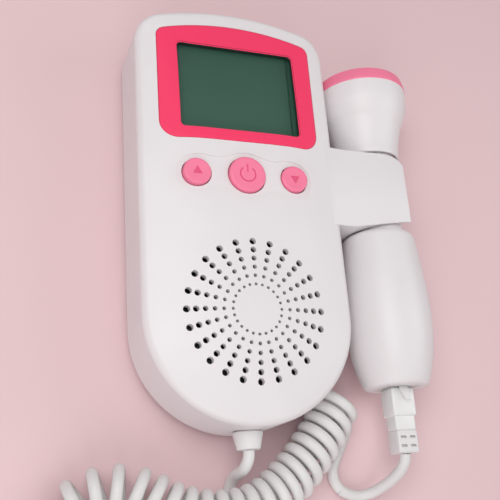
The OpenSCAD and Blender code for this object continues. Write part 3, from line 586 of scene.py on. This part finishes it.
SILICONE = moulded("keypad_silicone", (0.55, 0.55, 0.58), rough=0.6)
BOARD = moulded("solder_mask", (0.02, 0.16, 0.07), rough=0.35, depth=0.01)
LENS_GREY = moulded("lens_rubber", (0.66, 0.66, 0.68), rough=0.35, depth=0.004)
CELL = moulded("cell_wrap", (0.55, 0.30, 0.06), rough=0.3, depth=0.002)
STEEL = metal("plated_steel", (0.62, 0.62, 0.63), rough=0.32)
GOLD = metal("gold_plate", (0.83, 0.62, 0.28), rough=0.25)
CERAMIC = metal("silvered_ceramic", (0.75, 0.68, 0.52), rough=0.4)


def display_material():
    """Dark green display that is off: painted shade makes it darker towards its top edge and
    lighter towards its foot, with the faint cell grid.
    """
    material, tree, bsdf = shader("display_glass", (0.045, 0.12, 0.08), rough=0.3)
    place = tree.nodes.new("ShaderNodeTexCoord")
    split = tree.nodes.new("ShaderNodeSeparateXYZ")
    tree.links.new(place.outputs["Object"], split.inputs["Vector"])
    down = tree.nodes.new("ShaderNodeMapRange")
    down.inputs["From Min"].default_value = (WINDOW_Y + WINDOW_H / 2) * MM
    down.inputs["From Max"].default_value = (WINDOW_Y - WINDOW_H / 2) * MM
    tree.links.new(split.outputs["Y"], down.inputs["Value"])
    # painted shade: the colour runs from darker at the top edge to lighter at the foot
    tree.links.new(ramp(tree, down.outputs["Result"], (0.036, 0.100, 0.070),
                        (0.050, 0.130, 0.092), 0.0, 0.8), bsdf.inputs["Base Color"])
    grid = noise(tree, 3.0)
    bump(tree, bsdf, grid.outputs["Fac"], 0.003)
    return material


def window_material():
    """Clear acrylic."""
    material, tree, bsdf = shader("clear_acrylic", (0.05, 0.08, 0.07), rough=0.12, IOR=1.49,
                                  Alpha=0.06)
    ripple = noise(tree, 0.15)
    bump(tree, bsdf, ripple.outputs["Fac"], 0.004)
    return material


DISPLAY = display_material()
ACRYLIC = window_material()


# ---------------------------------------------------------------- camera, light, floor

def add_camera():
    back = Vector(CAMERA_BACK).normalized()
    up = back.cross(Vector(CAMERA_SIDE)).normalized()
    right = up.cross(back)
    data = bpy.data.cameras.new("camera")
    data.sensor_width = 36
    data.lens = CAMERA_LENS
    data.clip_start = 0.01
    data.clip_end = 10
    camera = bpy.data.objects.new("camera", data)
    camera.matrix_world = (Matrix.Translation(at(*CAMERA_PLACE))
                           @ Matrix((right, up, back)).transposed().to_4x4())
    bpy.context.scene.collection.objects.link(camera)
    bpy.context.scene.camera = camera


def add_lamp(name, place, size, power):
    data = bpy.data.lights.new(name, "AREA")
    data.shape = "DISK"
    data.size = size * MM
    data.energy = power
    lamp = bpy.data.objects.new(name, data)
    lamp.location = at(*place)
    lamp.rotation_mode = "QUATERNION"
    lamp.rotation_quaternion = (at(*LAMP_TARGET) - at(*place)).to_track_quat("-Z", "Y")
    bpy.context.scene.collection.objects.link(lamp)


def backdrop(tree, lit, far, output, share=None):
    """Shows far instead of lit on camera rays, by a share where one is given."""
    fac = tree.nodes.new("ShaderNodeLightPath").outputs["Is Camera Ray"]
    if share is not None:
        both = tree.nodes.new("ShaderNodeMath")
        both.operation = "MULTIPLY"
        tree.links.new(fac, both.inputs[0])
        tree.links.new(share, both.inputs[1])
        fac = both.outputs["Value"]
    mix = tree.nodes.new("ShaderNodeMixShader")
    tree.links.new(fac, mix.inputs["Fac"])
    tree.links.new(lit, mix.inputs[1])
    tree.links.new(far, mix.inputs[2])
    tree.links.new(mix.outputs["Shader"], tree.nodes[output].inputs["Surface"])


def floor_material():
    """Pale paper, which far from the object runs into the backdrop's colour."""
    material, tree, bsdf = shader("floor_paper", FLOOR_COLOUR, rough=0.8)
    place = tree.nodes.new("ShaderNodeTexCoord")
    away = tree.nodes.new("ShaderNodeVectorMath")
    away.operation = "LENGTH"
    tree.links.new(place.outputs["Object"], away.inputs[0])
    fade = tree.nodes.new("ShaderNodeMapRange")
    fade.interpolation_type = "SMOOTHSTEP"
    fade.inputs["From Min"].default_value = FADE_START
    fade.inputs["From Max"].default_value = FADE_END
    tree.links.new(away.outputs["Value"], fade.inputs["Value"])
    glow = tree.nodes.new("ShaderNodeEmission")
    glow.inputs["Color"].default_value = (*BACKDROP, 1)
    backdrop(tree, bsdf.outputs["BSDF"], glow.outputs["Emission"], "Material Output",
             fade.outputs["Result"])
    return material


def add_studio():
    """Plain pale floor and soft light."""
    bm = bmesh.new()
    bmesh.ops.create_grid(bm, x_segments=1, y_segments=1, size=1.5)
    floor = add_piece("floor", bm)
    floor.location.z = -0.02 * MM
    floor.data.materials.append(floor_material())
    add_lamp("key", (-160, 70, 470), 320, 1.0)
    add_lamp("fill", (-160, -400, 300), 400, 0.82)
    add_lamp("rim", (380, 60, 300), 300, 0.36)
    world = bpy.data.worlds.new("world")
    world.use_nodes = True
    sky = world.node_tree.nodes["Background"]
    sky.inputs["Color"].default_value = (1.0, 0.97, 0.98, 1)
    sky.inputs["Strength"].default_value = 0.4
    tree = world.node_tree
    far = tree.nodes.new("ShaderNodeBackground")
    far.inputs["Color"].default_value = (*BACKDROP, 1)
    backdrop(tree, sky.outputs["Background"], far.outputs["Background"], "World Output")
    bpy.context.scene.world = world
    bpy.context.scene.view_settings.view_transform = "Standard"


# ---------------------------------------------------------------- cords

COIL_START = Vector((37.5, -25.5))
COIL_HEADING = 240.0
COIL_RUNS = [(22, -11), (20, -16), (20, -35), (19, -28), (8, 10), (28, 76), (13.5, 48), (25, 76)]
HUMP_AT = 57.0
HUMP_REACH = 30.0
HUMP_RISE = 4.6
COIL_R = (CURL_D - CORD_D) / 2
COIL_Z = CURL_D / 2 + FLOOR_LIFT
LEAD_Z = CORD_D / 2 + FLOOR_LIFT


def heading_way(angle):
    return Vector((cos(radians(angle)), sin(radians(angle))))


def coil_axis():
    """Runs of the coil's axis: start, heading, length, turn and number of curls."""
    found, start, heading = [], COIL_START.copy(), COIL_HEADING
    for length, turn in COIL_RUNS:
        pitch = 1.006 * (CORD_D + CURL_GAP) / (1 - COIL_R * abs(radians(turn)) / length)
        found.append((start.copy(), heading, length, turn, length / pitch))
        r = length / radians(turn)
        side = Vector((-sin(radians(heading)), cos(radians(heading))))
        start += r * sin(radians(turn)) * heading_way(heading) + r * (1 - cos(radians(turn))) * side
        heading += turn
    return found, heading


def curl_points(per_curl=24):
    """Centre line of the curls, with the direction that leads away from the axis."""
    runs, last_heading = coil_axis()
    exact = sum(run[4] for run in runs)
    curls = round(exact)
    found = []
    for j in range(curls * per_curl + 1):
        turn_count = j / per_curl
        left = turn_count * exact / curls
        before = 0.0
        for start, heading, length, turn, count in runs:
            if left <= count or (start, heading) == runs[-1][:2]:
                break
            left -= count
            before += length
        part = min(left / count, 1.0)
        r = length / radians(turn)
        side = Vector((-sin(radians(heading)), cos(radians(heading))))
        swept = radians(turn * part)
        mid = start + r * sin(swept) * heading_way(heading) + r * (1 - cos(swept)) * side
        near = max(1 - abs(before + length * part - HUMP_AT) / HUMP_REACH, 0)
        z = COIL_Z + HUMP_RISE * (1 - cos(pi * near)) / 2
        now = heading + turn * part
        a = 2 * pi * turn_count - pi / 2
        way = Vector((sin(radians(now)), -cos(radians(now)), 0))
        out = cos(a) * way + sin(a) * Vector((0, 0, 1))
        found.append((Vector((mid.x, mid.y, z)) + COIL_R * out, out))
    return found, last_heading


def smooth(points, n):
    """Points of the smooth curve through given points."""
    found = []
    for i in range(len(points) - 1):
        a, b = points[max(i - 1, 0)], points[i]
        c, d = points[i + 1], points[min(i + 2, len(points) - 1)]
        for k in range(n):
            t = k / n
            found.append(0.5 * (2 * b + (c - a) * t + (2 * a - 5 * b + 4 * c - d) * t * t
                                + (3 * b - a - 3 * c + d) * t ** 3))
    return found + [points[-1]]


def tube(name, points, radius, sides=16):
    """Round tube along points that are given in millimetres, and the path in metres."""
    bm = bmesh.new()
    rings = []
    side = None
    for i, p in enumerate(points):
        along = (points[min(i + 1, len(points) - 1)] - points[max(i - 1, 0)]).normalized()
        if side is None:
            side = along.cross(Vector((0, 0, 1)) if abs(along.z) < 0.9 else Vector((0, 1, 0)))
        side = (side - side.dot(along) * along).normalized()
        up = side.cross(along)
        rings.append([(p + radius * (cos(2 * pi * k / sides) * side
                                     + sin(2 * pi * k / sides) * up)) * MM for k in range(sides)])
    first, edges = close_loop(bm, rings[0])
    last, _ = loft(bm, first, edges, rings[1:])
    bm.faces.new(first[::-1])
    bm.faces.new(last)
    bmesh.ops.recalc_face_normals(bm, faces=bm.faces[:])
    cord = add_piece(name, bm)
    cord.data.set_sharp_from_angle(angle=radians(60))
    return cord, [p * MM for p in points]


def path_length(path):
    return sum((b - a).length for a, b in zip(path, path[1:]))


def add_cords():
    curls, last_heading = curl_points()
    first_way = Vector((sin(radians(COIL_HEADING)), -cos(radians(COIL_HEADING)), 0))
    last_way = Vector((sin(radians(last_heading)), -cos(radians(last_heading)), 0))
    coil_first = curls[0][0] - CORD_D * first_way
    coil_last = curls[-1][0] + CORD_D * last_way
    middle = [p for p, _ in curls]
    line = ([coil_first, curls[0][0] - 0.4 * CORD_D * first_way] + middle
            + [curls[-1][0] + 0.4 * CORD_D * last_way, coil_last])
    curly, path = tube("curly_cord_piece", line, CORD_D / 2)
    finish_piece(curly, "unit", CORD_WHITE, "cord_white", "curly_cord")

    unit_route = [Vector(p) for p in [
        (0, -GROMMET_TIP, GROMMET_Z), (0, -43.8, 16.4), (-0.3, -45.7, 15.4), (-0.8, -47.6, 13),
        (-1.5, -48.6, 9.5), (-2.2, -49.7, 5.9), (-2.9, -52.4, 3.3), (-3.4, -56.4, 2.2),
        (-4, -61, LEAD_Z), (-5, -67, LEAD_Z), (-7, -73, LEAD_Z), (-10.3, -78.5, LEAD_Z),
        (-14.2, -83.6, LEAD_Z), (-17.9, -88.6, LEAD_Z), (-21.6, -93.6, LEAD_Z), (-26, -98, LEAD_Z),
        (-31.2, -101, LEAD_Z), (-36.6, -101.6, LEAD_Z), (-40.8, -99.4, LEAD_Z),
        (-42.6, -95.6, LEAD_Z)]] + [coil_last]
    unit_lead, unit_path = tube("unit_lead_piece", smooth(unit_route, 5), CORD_D / 2)
    finish_piece(unit_lead, "unit", CORD_WHITE, "cord_white", "unit_lead")

    reach = PROBE_TURN_Y - BOOT_END
    plug_exit = Vector((PROBE_X - sin(PROBE_LEAN) * reach, PROBE_TURN_Y - cos(PROBE_LEAN) * reach,
                        PROBE_Z))
    probe_route = [plug_exit] + [Vector(p) for p in [
        (55.7, -47.9, 18.1), (55.1, -50.6, 15.8), (53.8, -53.2, 12), (51.8, -55.4, 7.8),
        (49.2, -57.1, 4.3), (46, -57.8, 2.5), (42.5, -57.5, LEAD_Z), (38.6, -55.8, LEAD_Z),
        (36.2, -52.6, LEAD_Z), (35.9, -48.8, LEAD_Z), (37.3, -45.3, LEAD_Z), (39.2, -42, LEAD_Z),
        (41.2, -38.6, LEAD_Z), (42.9, -35.2, LEAD_Z), (43.8, -31.8, LEAD_Z),
        (43, -29, LEAD_Z)]] + [coil_first]
    line = smooth(probe_route, 6)
    total = path_length(line)
    half = next(i for i in range(len(line)) if path_length(line[:i + 1]) >= total / 2)
    upper, upper_path = tube("probe_lead_upper", line[:half + 1], CORD_D / 2)
    lower, lower_path = tube("probe_lead_lower", line[half:], CORD_D / 2)
    for lead in (upper, lower):
        lead.data.materials.append(CORD_WHITE)
        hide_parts("probe_lead")
    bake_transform(lower)
    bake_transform(upper)


# ---------------------------------------------------------------- unit

def bezel_outline(grow=0.0):
    return arched(WINDOW_W / 2 + BEZEL_SIDE + grow, WINDOW_Y - WINDOW_H / 2 - BEZEL_FOOT - grow,
                  BEZEL_FOOT_R + grow, BEZEL_CORNER_R + grow, TOP_ARC_R - BEZEL_RIM + grow)


def grille_cutter():
    """The grille's holes: rings that grow outwards."""
    bm = bmesh.new()
    for ring in range(GRILLE_RINGS):
        share = ring / (GRILLE_RINGS - 1)
        r = GRILLE_INNER_R + (GRILLE_R - GRILLE_INNER_R) * share
        hole = 1.06 * (HOLE_INNER_R + (HOLE_OUTER_R - HOLE_INNER_R) * share)
        for k in range(GRILLE_SPOKES):
            a = pi / 2 + 2 * pi * k / GRILLE_SPOKES
            bmesh.ops.create_cone(
                bm, cap_ends=True, segments=20, radius1=hole * MM, radius2=hole * MM,
                depth=14 * MM, matrix=Matrix.Translation(at(r * cos(a), r * sin(a), 33)))
    return add_piece("grille_cutter", bm)


def add_front_shell():
    outer = case_rings()
    bm = bmesh.new()
    first, edges = close_loop(bm, outer[0])
    loft(bm, first, edges, outer[1:])
    loft(bm, first, edges, case_rings(WALL))
    shell = add_piece("front_shell_piece", merged(bm, 2e-6))
    uncut = copied(shell)
    grommet_hole = bmesh.new()
    bmesh.ops.create_cone(
        grommet_hole, cap_ends=True, segments=40, radius1=GROMMET_HOLE_R * MM,
        radius2=GROMMET_HOLE_R * MM, depth=9 * MM,
        matrix=Matrix.Translation(at(0, -HALF_W, GROMMET_Z)) @ Matrix.Rotation(pi / 2, 4, "X"))
    cutters = [
        pocket_cutter("bezel_pocket", bezel_outline(0.12), BEZEL_SUNK, (0, WINDOW_Y)),
        pocket_cutter("contour_pocket", contour_outline(), CONTOUR_DEPTH, (0, BUTTONS_Y)),
        hole_cutter("window_hole",
                    rounded(WINDOW_W + 0.8, WINDOW_H + 0.8, WINDOW_R, y=WINDOW_Y)),
        grille_cutter(),
        add_piece("grommet_hole", grommet_hole),
    ]
    for i in (-1, 0, 1):
        radius = (ARROW_R if i else POWER_R) + BUTTON_GAP
        outline = circle(i * BUTTON_PITCH, BUTTONS_Y, radius)
        cutters.append(hole_cutter(f"button_hole_{i + 1}", outline, flare=0.25))
    cut(shell, *cutters)
    keep_curve(shell, uncut)
    finish_piece(shell, "unit", WHITE, "shell_white", "front_shell")
    paint_window_wall_shade(shell)


def add_bezel():
    outline = bezel_outline()
    rings = [on_face(outline, -BEZEL_SUNK + 0.05)]
    for i in range(5):
        a = pi / 2 * i / 4
        rings.append(on_face(outline, BEZEL_PROUD - BEZEL_EDGE * (1 - sin(a)),
                             -BEZEL_EDGE * (1 - cos(a))))
    steps = 24
    centre = Vector((0, WINDOW_Y))
    inner = [p - BEZEL_EDGE * way for p, way in outline]
    for i in range(1, steps + 1):
        rings.append([at(*q, face_z(*q) + BEZEL_PROUD)
                      for q in (p.lerp(centre, i / steps) for p in inner)])
    bm = bmesh.new()
    first, edges = close_loop(bm, rings[0])
    loft(bm, first, edges, rings[1:])
    low = [[at(*q, face_z(*q) - BEZEL_SUNK + 0.05) for q in
            (p.lerp(centre, i / steps) for p, _ in outline)] for i in range(1, steps + 1)]
    loft(bm, first, edges, low)
    bezel = add_piece("display_bezel_piece", merged(bm, 2e-6))
    uncut = copied(bezel)
    cut(bezel, hole_cutter("bezel_window", rounded(WINDOW_W, WINDOW_H, WINDOW_R, y=WINDOW_Y),
                           flare=0.4))
    keep_curve(bezel, uncut)
    finish_piece(bezel, "unit", BEZEL_PINK, "bezel_pink", "display_bezel")
    paint_window_wall_shade(bezel)


def sign_prism(name, points, low, high):
    """Prism of a sign on a button, in millimetres."""
    return add_piece(name, closed_loft([[at(x, y, low) for x, y in points],
                                        [at(x, y, high) for x, y in points]]), smooth=False)


def triangle(x, up, reach=1.75):
    """Corners of the arrow sign, slightly rounded."""
    found = []
    for k in range(3):
        a = (pi / 2 if up else -pi / 2) + 2 * pi * k / 3
        for i in range(-2, 3):
            b = a + i * pi / 12
            found.append((x + (reach - 0.3) * cos(a) + 0.3 * cos(b),
                          BUTTONS_Y + (reach - 0.3) * sin(a) + 0.3 * sin(b)))
    return found


def power_sign():
    """Outlines of an open ring and of the bar in its gap."""
    gap = radians(38)
    turns = [pi / 2 + gap + (2 * pi - 2 * gap) * i / 40 for i in range(41)]
    inner_r = SIGN_R - SIGN_LINE
    ring = ([(SIGN_R * cos(a), BUTTONS_Y + SIGN_R * sin(a)) for a in turns]
            + [(inner_r * cos(a), BUTTONS_Y + inner_r * sin(a)) for a in turns[::-1]])
    half = SIGN_LINE / 2
    bar = [(-half, BUTTONS_Y + 0.7), (half, BUTTONS_Y + 0.7), (half, BUTTONS_Y + 3.6),
           (-half, BUTTONS_Y + 3.6)]
    return [ring, bar]


def add_button(node, x, radius, signs):
    """Cap with a rounded rim, a slightly dished top and a sunk sign."""
    low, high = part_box(node)
    top = high.z / MM
    foot = low.z / MM
    rim = BUTTON_RIM
    flange_r = radius + BUTTON_FLANGE
    profile = [(0.0, foot), (BUTTON_STEM_R, foot), (BUTTON_STEM_R, foot + 1.2),
               (flange_r, foot + 1.2), (flange_r, foot + 2.2), (radius, foot + 2.2)]
    profile += [(radius - rim + rim * cos(pi / 2 * i / 8), top - rim + rim * sin(pi / 2 * i / 8))
                for i in range(9)]
    profile += [((radius - rim) * (1 - i / 8), top - BUTTON_DISH * (1 - (1 - i / 8) ** 2))
                for i in range(1, 9)]
    bm = lathe(profile, steps=72)
    bmesh.ops.translate(bm, verts=bm.verts[:], vec=at(x, BUTTONS_Y, 0))
    cap = add_piece(node + "_piece", bm)
    cap.data.set_sharp_from_angle(angle=radians(45))
    uncut = copied(cap)
    cut(cap, *[sign_prism("sign_cut", points, top - 0.5, top + 1) for points in signs])
    keep_curve(cap, uncut, sharp=45)
    finish_piece(cap, node, BUTTON_PINK, "button_pink", node)
    for i, points in enumerate(signs):
        inlay = sign_prism(f"{node}_sign_{i}", points, top - 0.56, top - 0.42)
        finish_piece(inlay, node, SIGN_PINK, "button_pink")


def add_grommet():
    """Tapered strain relief with its collar."""
    y0 = HALF_W
    profile = [
        (0, y0 - 4.6), (5.5, y0 - 4.6), (5.5, y0 - 2.8), (3.9, y0 - 2.8), (3.9, y0 + 0.1),
        (4.8, y0 + 0.12), (5.0, y0 + 0.3), (5.05, y0 + 0.6), (3.95, GROMMET_TIP - 0.45),
        (3.85, GROMMET_TIP - 0.15), (3.6, GROMMET_TIP), (0, GROMMET_TIP)]
    bm = lathe(profile, steps=64)
    place = Matrix.Translation(at(0, 0, GROMMET_Z)) @ Matrix.Rotation(pi / 2, 4, "X")
    bmesh.ops.transform(bm, verts=bm.verts[:], matrix=place)
    grommet = add_piece("cord_grommet_piece", bm)
    grommet.data.set_sharp_from_angle(angle=radians(40))
    return finish_piece(grommet, "unit", RUBBER_WHITE, "grommet_white", "cord_grommet")


def add_cradle():
    """Open C that holds the probe's neck; its back flows out of the face."""
    slot = NECK_R + NECK_GAP
    low, high = PROBE_Z - slot - JAW_T, PROBE_Z + slot + JAW_T
    bore_x = PROBE_X - 0.6
    start_x = 32.6
    slope = face_slope(start_x, 48).x
    start_z = face_z(start_x, 48) - 0.02
    top = []
    steps = 24
    for i in range(steps + 1):
        t = i / steps
        x = start_x + (CRADLE_REACH - 1.2 - start_x) * t
        # leaves the face along its slope, then swells gently over the neck
        p = [start_z, start_z + slope * 9, high + 0.55, high - 0.9]
        z = ((1 - t) ** 3 * p[0] + 3 * (1 - t) ** 2 * t * p[1] + 3 * (1 - t) * t * t * p[2]
             + t ** 3 * p[3])
        top.append((x, z))
    end_x, end_z = CRADLE_REACH, PROBE_Z + slot
    section = ([(start_x, low + 2)] + top
               + [(end_x - 0.35, end_z + 0.85), (end_x, end_z + 0.35), (end_x, end_z)])
    section += [(bore_x - slot * sin(a), PROBE_Z + slot * cos(a))
                for a in (pi * i / 40 for i in range(41))]
    section += [(end_x, PROBE_Z - slot), (end_x, low + 1.2), (end_x - 1, low + 0.6),
                (HALF_W + 4, low)]
    ends = []
    for y in (CRADLE_LOW - 1, CRADLE_HIGH + 1):
        ends.append([at(x, y, z) for x, z in section])
    cradle = add_piece("probe_cradle_piece", closed_loft(ends))
    edge_x = CRADLE_REACH + 0.01
    across, along = CRADLE_CORNER
    plan = [(32, CRADLE_LOW), (HALF_W + 6, CRADLE_LOW), (edge_x, CRADLE_LOW + CRADLE_RISE)]
    plan += [(edge_x - across * (1 - cos(a)), CRADLE_HIGH - CRADLE_FALL - along * (1 - sin(a)))
             for a in (pi * i / 24 for i in range(13))]
    plan += [(32, CRADLE_HIGH)]
    mask = add_piece("cradle_plan", closed_loft([[at(x, y, -1) for x, y in plan],
                                                 [at(x, y, 50) for x, y in plan]]))
    cut(cradle, mask, operation="INTERSECT")
    outer = case_rings(-0.005)
    cut(cradle, add_piece("case_solid", closed_loft(outer, cap_last=False)))
    edge = cradle.modifiers.new("edge", "BEVEL")
    edge.width = 0.5 * MM
    edge.segments = 3
    edge.limit_method = "ANGLE"
    edge.angle_limit = radians(50)
    edge.use_clamp_overlap = True
    applied(cradle)
    cradle.data.polygons.foreach_set("use_smooth", [True] * len(cradle.data.polygons))
    cradle.data.set_sharp_from_angle(angle=radians(32))
    finish_piece(cradle, "unit", WHITE, "shell_white", "probe_cradle")


# ---------------------------------------------------------------- probe

PROBE_PROFILE = [
    (10.6, HANDLE_END), (11.4, -22.6), (12.1, -21), (13.2, -17.6), (14.5, -12), (15.4, -4.5),
    (15.7, 3), (15.2, 13.8), (14, 26), (13.6, 30), (13.3, 31.3), (NECK_R + 2.7, 32.3),
    (NECK_R + 1.2, 32.7), (NECK_R, 32.8), (NECK_R, 63.4), (NECK_R + 1.8, 63.6),
    (NECK_R + 2.4, 64.2), (NECK_R + 2.5, 66), (NECK_R + 2.9, 69.5), (RING_R - 4.2, 75),
    (RING_R - 3.3, 78), (RING_R - 2.1, 80.5),
    (RING_R - 0.8, 84.6), (RING_R - 0.3, 88), (RING_R - 0.1, PROBE_TOP - RING_L)]

PROBE_PLACE = (Matrix.Translation(at(PROBE_X, PROBE_TURN_Y, PROBE_Z))
               @ Matrix.Rotation(-PROBE_LEAN, 4, "Z") @ Matrix.Rotation(-pi / 2, 4, "X")
               @ Matrix.Translation(at(0, 0, -PROBE_TURN_Y)))


def at_probe(bm):
    bmesh.ops.transform(bm, matrix=PROBE_PLACE, verts=bm.verts[:])
    return bm


def smooth_profile(points, n=5):
    return [(q.x, q.y) for q in smooth([Vector(p) for p in points], n)]


def socket_cutter():
    bm = bmesh.new()
    bmesh.ops.create_cube(bm, size=1)
    bmesh.ops.scale(bm, vec=at(12.3, 11.3, 6), verts=bm.verts[:])
    bmesh.ops.translate(bm, vec=at(0, 0, HANDLE_END), verts=bm.verts[:])
    return add_piece("socket_cutter", at_probe(bm))


def add_probe_shells():
    outer = smooth_profile(PROBE_PROFILE)
    inner = [(r - PROBE_WALL, max(h, HANDLE_END + PROBE_WALL)) for r, h in outer]
    closed = outer + inner[::-1] + [(0.2, HANDLE_END + PROBE_WALL), (0.2, HANDLE_END)]
    for name, start, material, slot in (("probe_front_shell", pi, WHITE, "shell_white"),
                                        ("probe_rear_shell", 0.0, COVER, "cover_white")):
        bm = lathe(closed, turn=pi, start=start, steps=64)
        shell = add_piece(name + "_piece", at_probe(bm))
        cut(shell, socket_cutter())
        shell.data.polygons.foreach_set("use_smooth", [True] * len(shell.data.polygons))
        shell.data.set_sharp_from_angle(angle=radians(40))
        finish_piece(shell, "probe", material, slot, name)


def add_probe_ring():
    low, high = PROBE_TOP - RING_L, PROBE_TOP
    r, edge = RING_R, 0.7
    profile = [(r - 2, low), (r - 0.15, low), (r, low + 0.2)]
    profile += [(r - RING_TAPER * ((i / 8) ** 1.6), low + 0.2 + (RING_L - edge - 0.2) * i / 8)
                for i in range(1, 8)]
    profile += [(r - RING_TAPER - edge + edge * cos(pi / 2 * i / 6),
                 high - edge + edge * sin(pi / 2 * i / 6)) for i in range(7)]
    profile += [(r - 2 + 0.3, high), (r - 2, high - 0.3)]
    ring = add_piece("probe_ring_piece", at_probe(lathe(profile, steps=128)))
    ring.data.set_sharp_from_angle(angle=radians(40))
    finish_piece(ring, "probe", RING_PINK, "ring_pink", "probe_ring")


def round_box(bm, size, place, width, segments=3):
    """Box in millimetres, standing on its place, with rounded edges."""
    made = bmesh.ops.create_cube(bm, size=1)["verts"]
    bmesh.ops.scale(bm, vec=at(*size), verts=made)
    bmesh.ops.translate(bm, vec=at(place[0], place[1], place[2] + size[2] / 2), verts=made)
    edges = list({e for v in made for e in v.link_edges})
    bmesh.ops.bevel(bm, geom=edges, offset=width * MM, segments=segments, profile=0.5,
                    affect="EDGES", material=-1)


def add_plug():
    """Modular handset plug with its latch, and the ribbed boot behind it."""
    face = HANDLE_END - PLUG_GAP
    bm = bmesh.new()
    round_box(bm, (7.7, 6.6, 10), (0, 0, face), 0.3)
    round_box(bm, (8.8, 8.0, PLUG_L), (0, 0, face - PLUG_L), 0.6)
    round_box(bm, (7.6, 6.6, 5.2), (0, 0, face - 14.4), 0.5)
    plug = add_piece("plug_body_piece", at_probe(bm))
    plug.data.set_sharp_from_angle(angle=radians(40))
    finish_piece(plug, "plug", PLUG_WHITE, "plug_white")
    # side of the latch, hinged at the nose, with how far its edges draw in towards the tail
    side = [(9.2, 0.0, 0), (9.2, 0.7, 0), (1, 1.4, 0), (-1.5, 2.1, 0.2), (-4.6, 3.4, 0.8),
            (-4.6, 2.6, 0.8), (-1.5, 1.3, 0.2), (1, 0.6, 0), (7, 0.0, 0)]
    ends = [[at(x * (LATCH_W / 2 - inwards) + 0.6 * inwards, -3.3 - out, face + along)
             for along, out, inwards in side] for x in (-1, 1)]
    latch = add_piece("plug_latch_piece", at_probe(closed_loft(ends)), smooth=False)
    finish_piece(latch, "plug", PLUG_WHITE, "plug_white")
    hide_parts("plug_body")
    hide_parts("plug_body")

    boot = bmesh.new()
    round_box(boot, (7.8, 7.2, BOOT_L), (0, 0, BOOT_END), 0.7)
    boot_piece = add_piece("plug_boot_piece", at_probe(boot))
    slots = bmesh.new()
    for k in (0, 1):
        for x in (-1, 1):
            for y in (-3.6, 3.6):
                round_box(slots, (2.3, 2.8, 0.9), (x * 1.75, y, BOOT_END + 1.9 + 2.9 * k), 0.2, 2)
    cut(boot_piece, add_piece("boot_slots", at_probe(slots)))
    boot_piece.data.set_sharp_from_angle(angle=radians(40))
    finish_piece(boot_piece, "plug", RUBBER_WHITE, "plug_white", "plug_boot")
    return [plug, latch, boot_piece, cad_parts["plug_contacts"]]


# ---------------------------------------------------------------- pieces kept from the CAD

KEPT = {
    "rear_cover": COVER, "battery_door": COVER, "display_window": ACRYLIC,
    "display_glass": DISPLAY, "display_holder": GREY, "main_board": BOARD,
    "keypad_mat": SILICONE, "speaker_frame": DARK, "speaker_cone": DARK,
    "speaker_magnet": STEEL, "battery_box": DARK, "battery_contacts": STEEL,
    "batteries": CELL, "case_screws": STEEL, "probe_lens": LENS_GREY,
    "transducer_crystals": CERAMIC, "transducer_cup": DARK, "probe_board": BOARD,
    "plug_socket": GREY, "plug_contacts": GOLD,
}


def dress_kept():
    for node, material in KEPT.items():
        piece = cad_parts[node]
        piece.data.materials.clear()
        piece.data.materials.append(material)


add_camera()
add_studio()
plug_pieces = add_plug()
grommet = add_grommet()
add_cords()
add_front_shell()
add_bezel()
add_button("up_button", -BUTTON_PITCH, ARROW_R, [triangle(-BUTTON_PITCH, True)])
add_button("power_button", 0, POWER_R, power_sign())
add_button("down_button", BUTTON_PITCH, ARROW_R, [triangle(BUTTON_PITCH, False)])
add_cradle()
add_probe_shells()
add_probe_ring()
dress_kept()
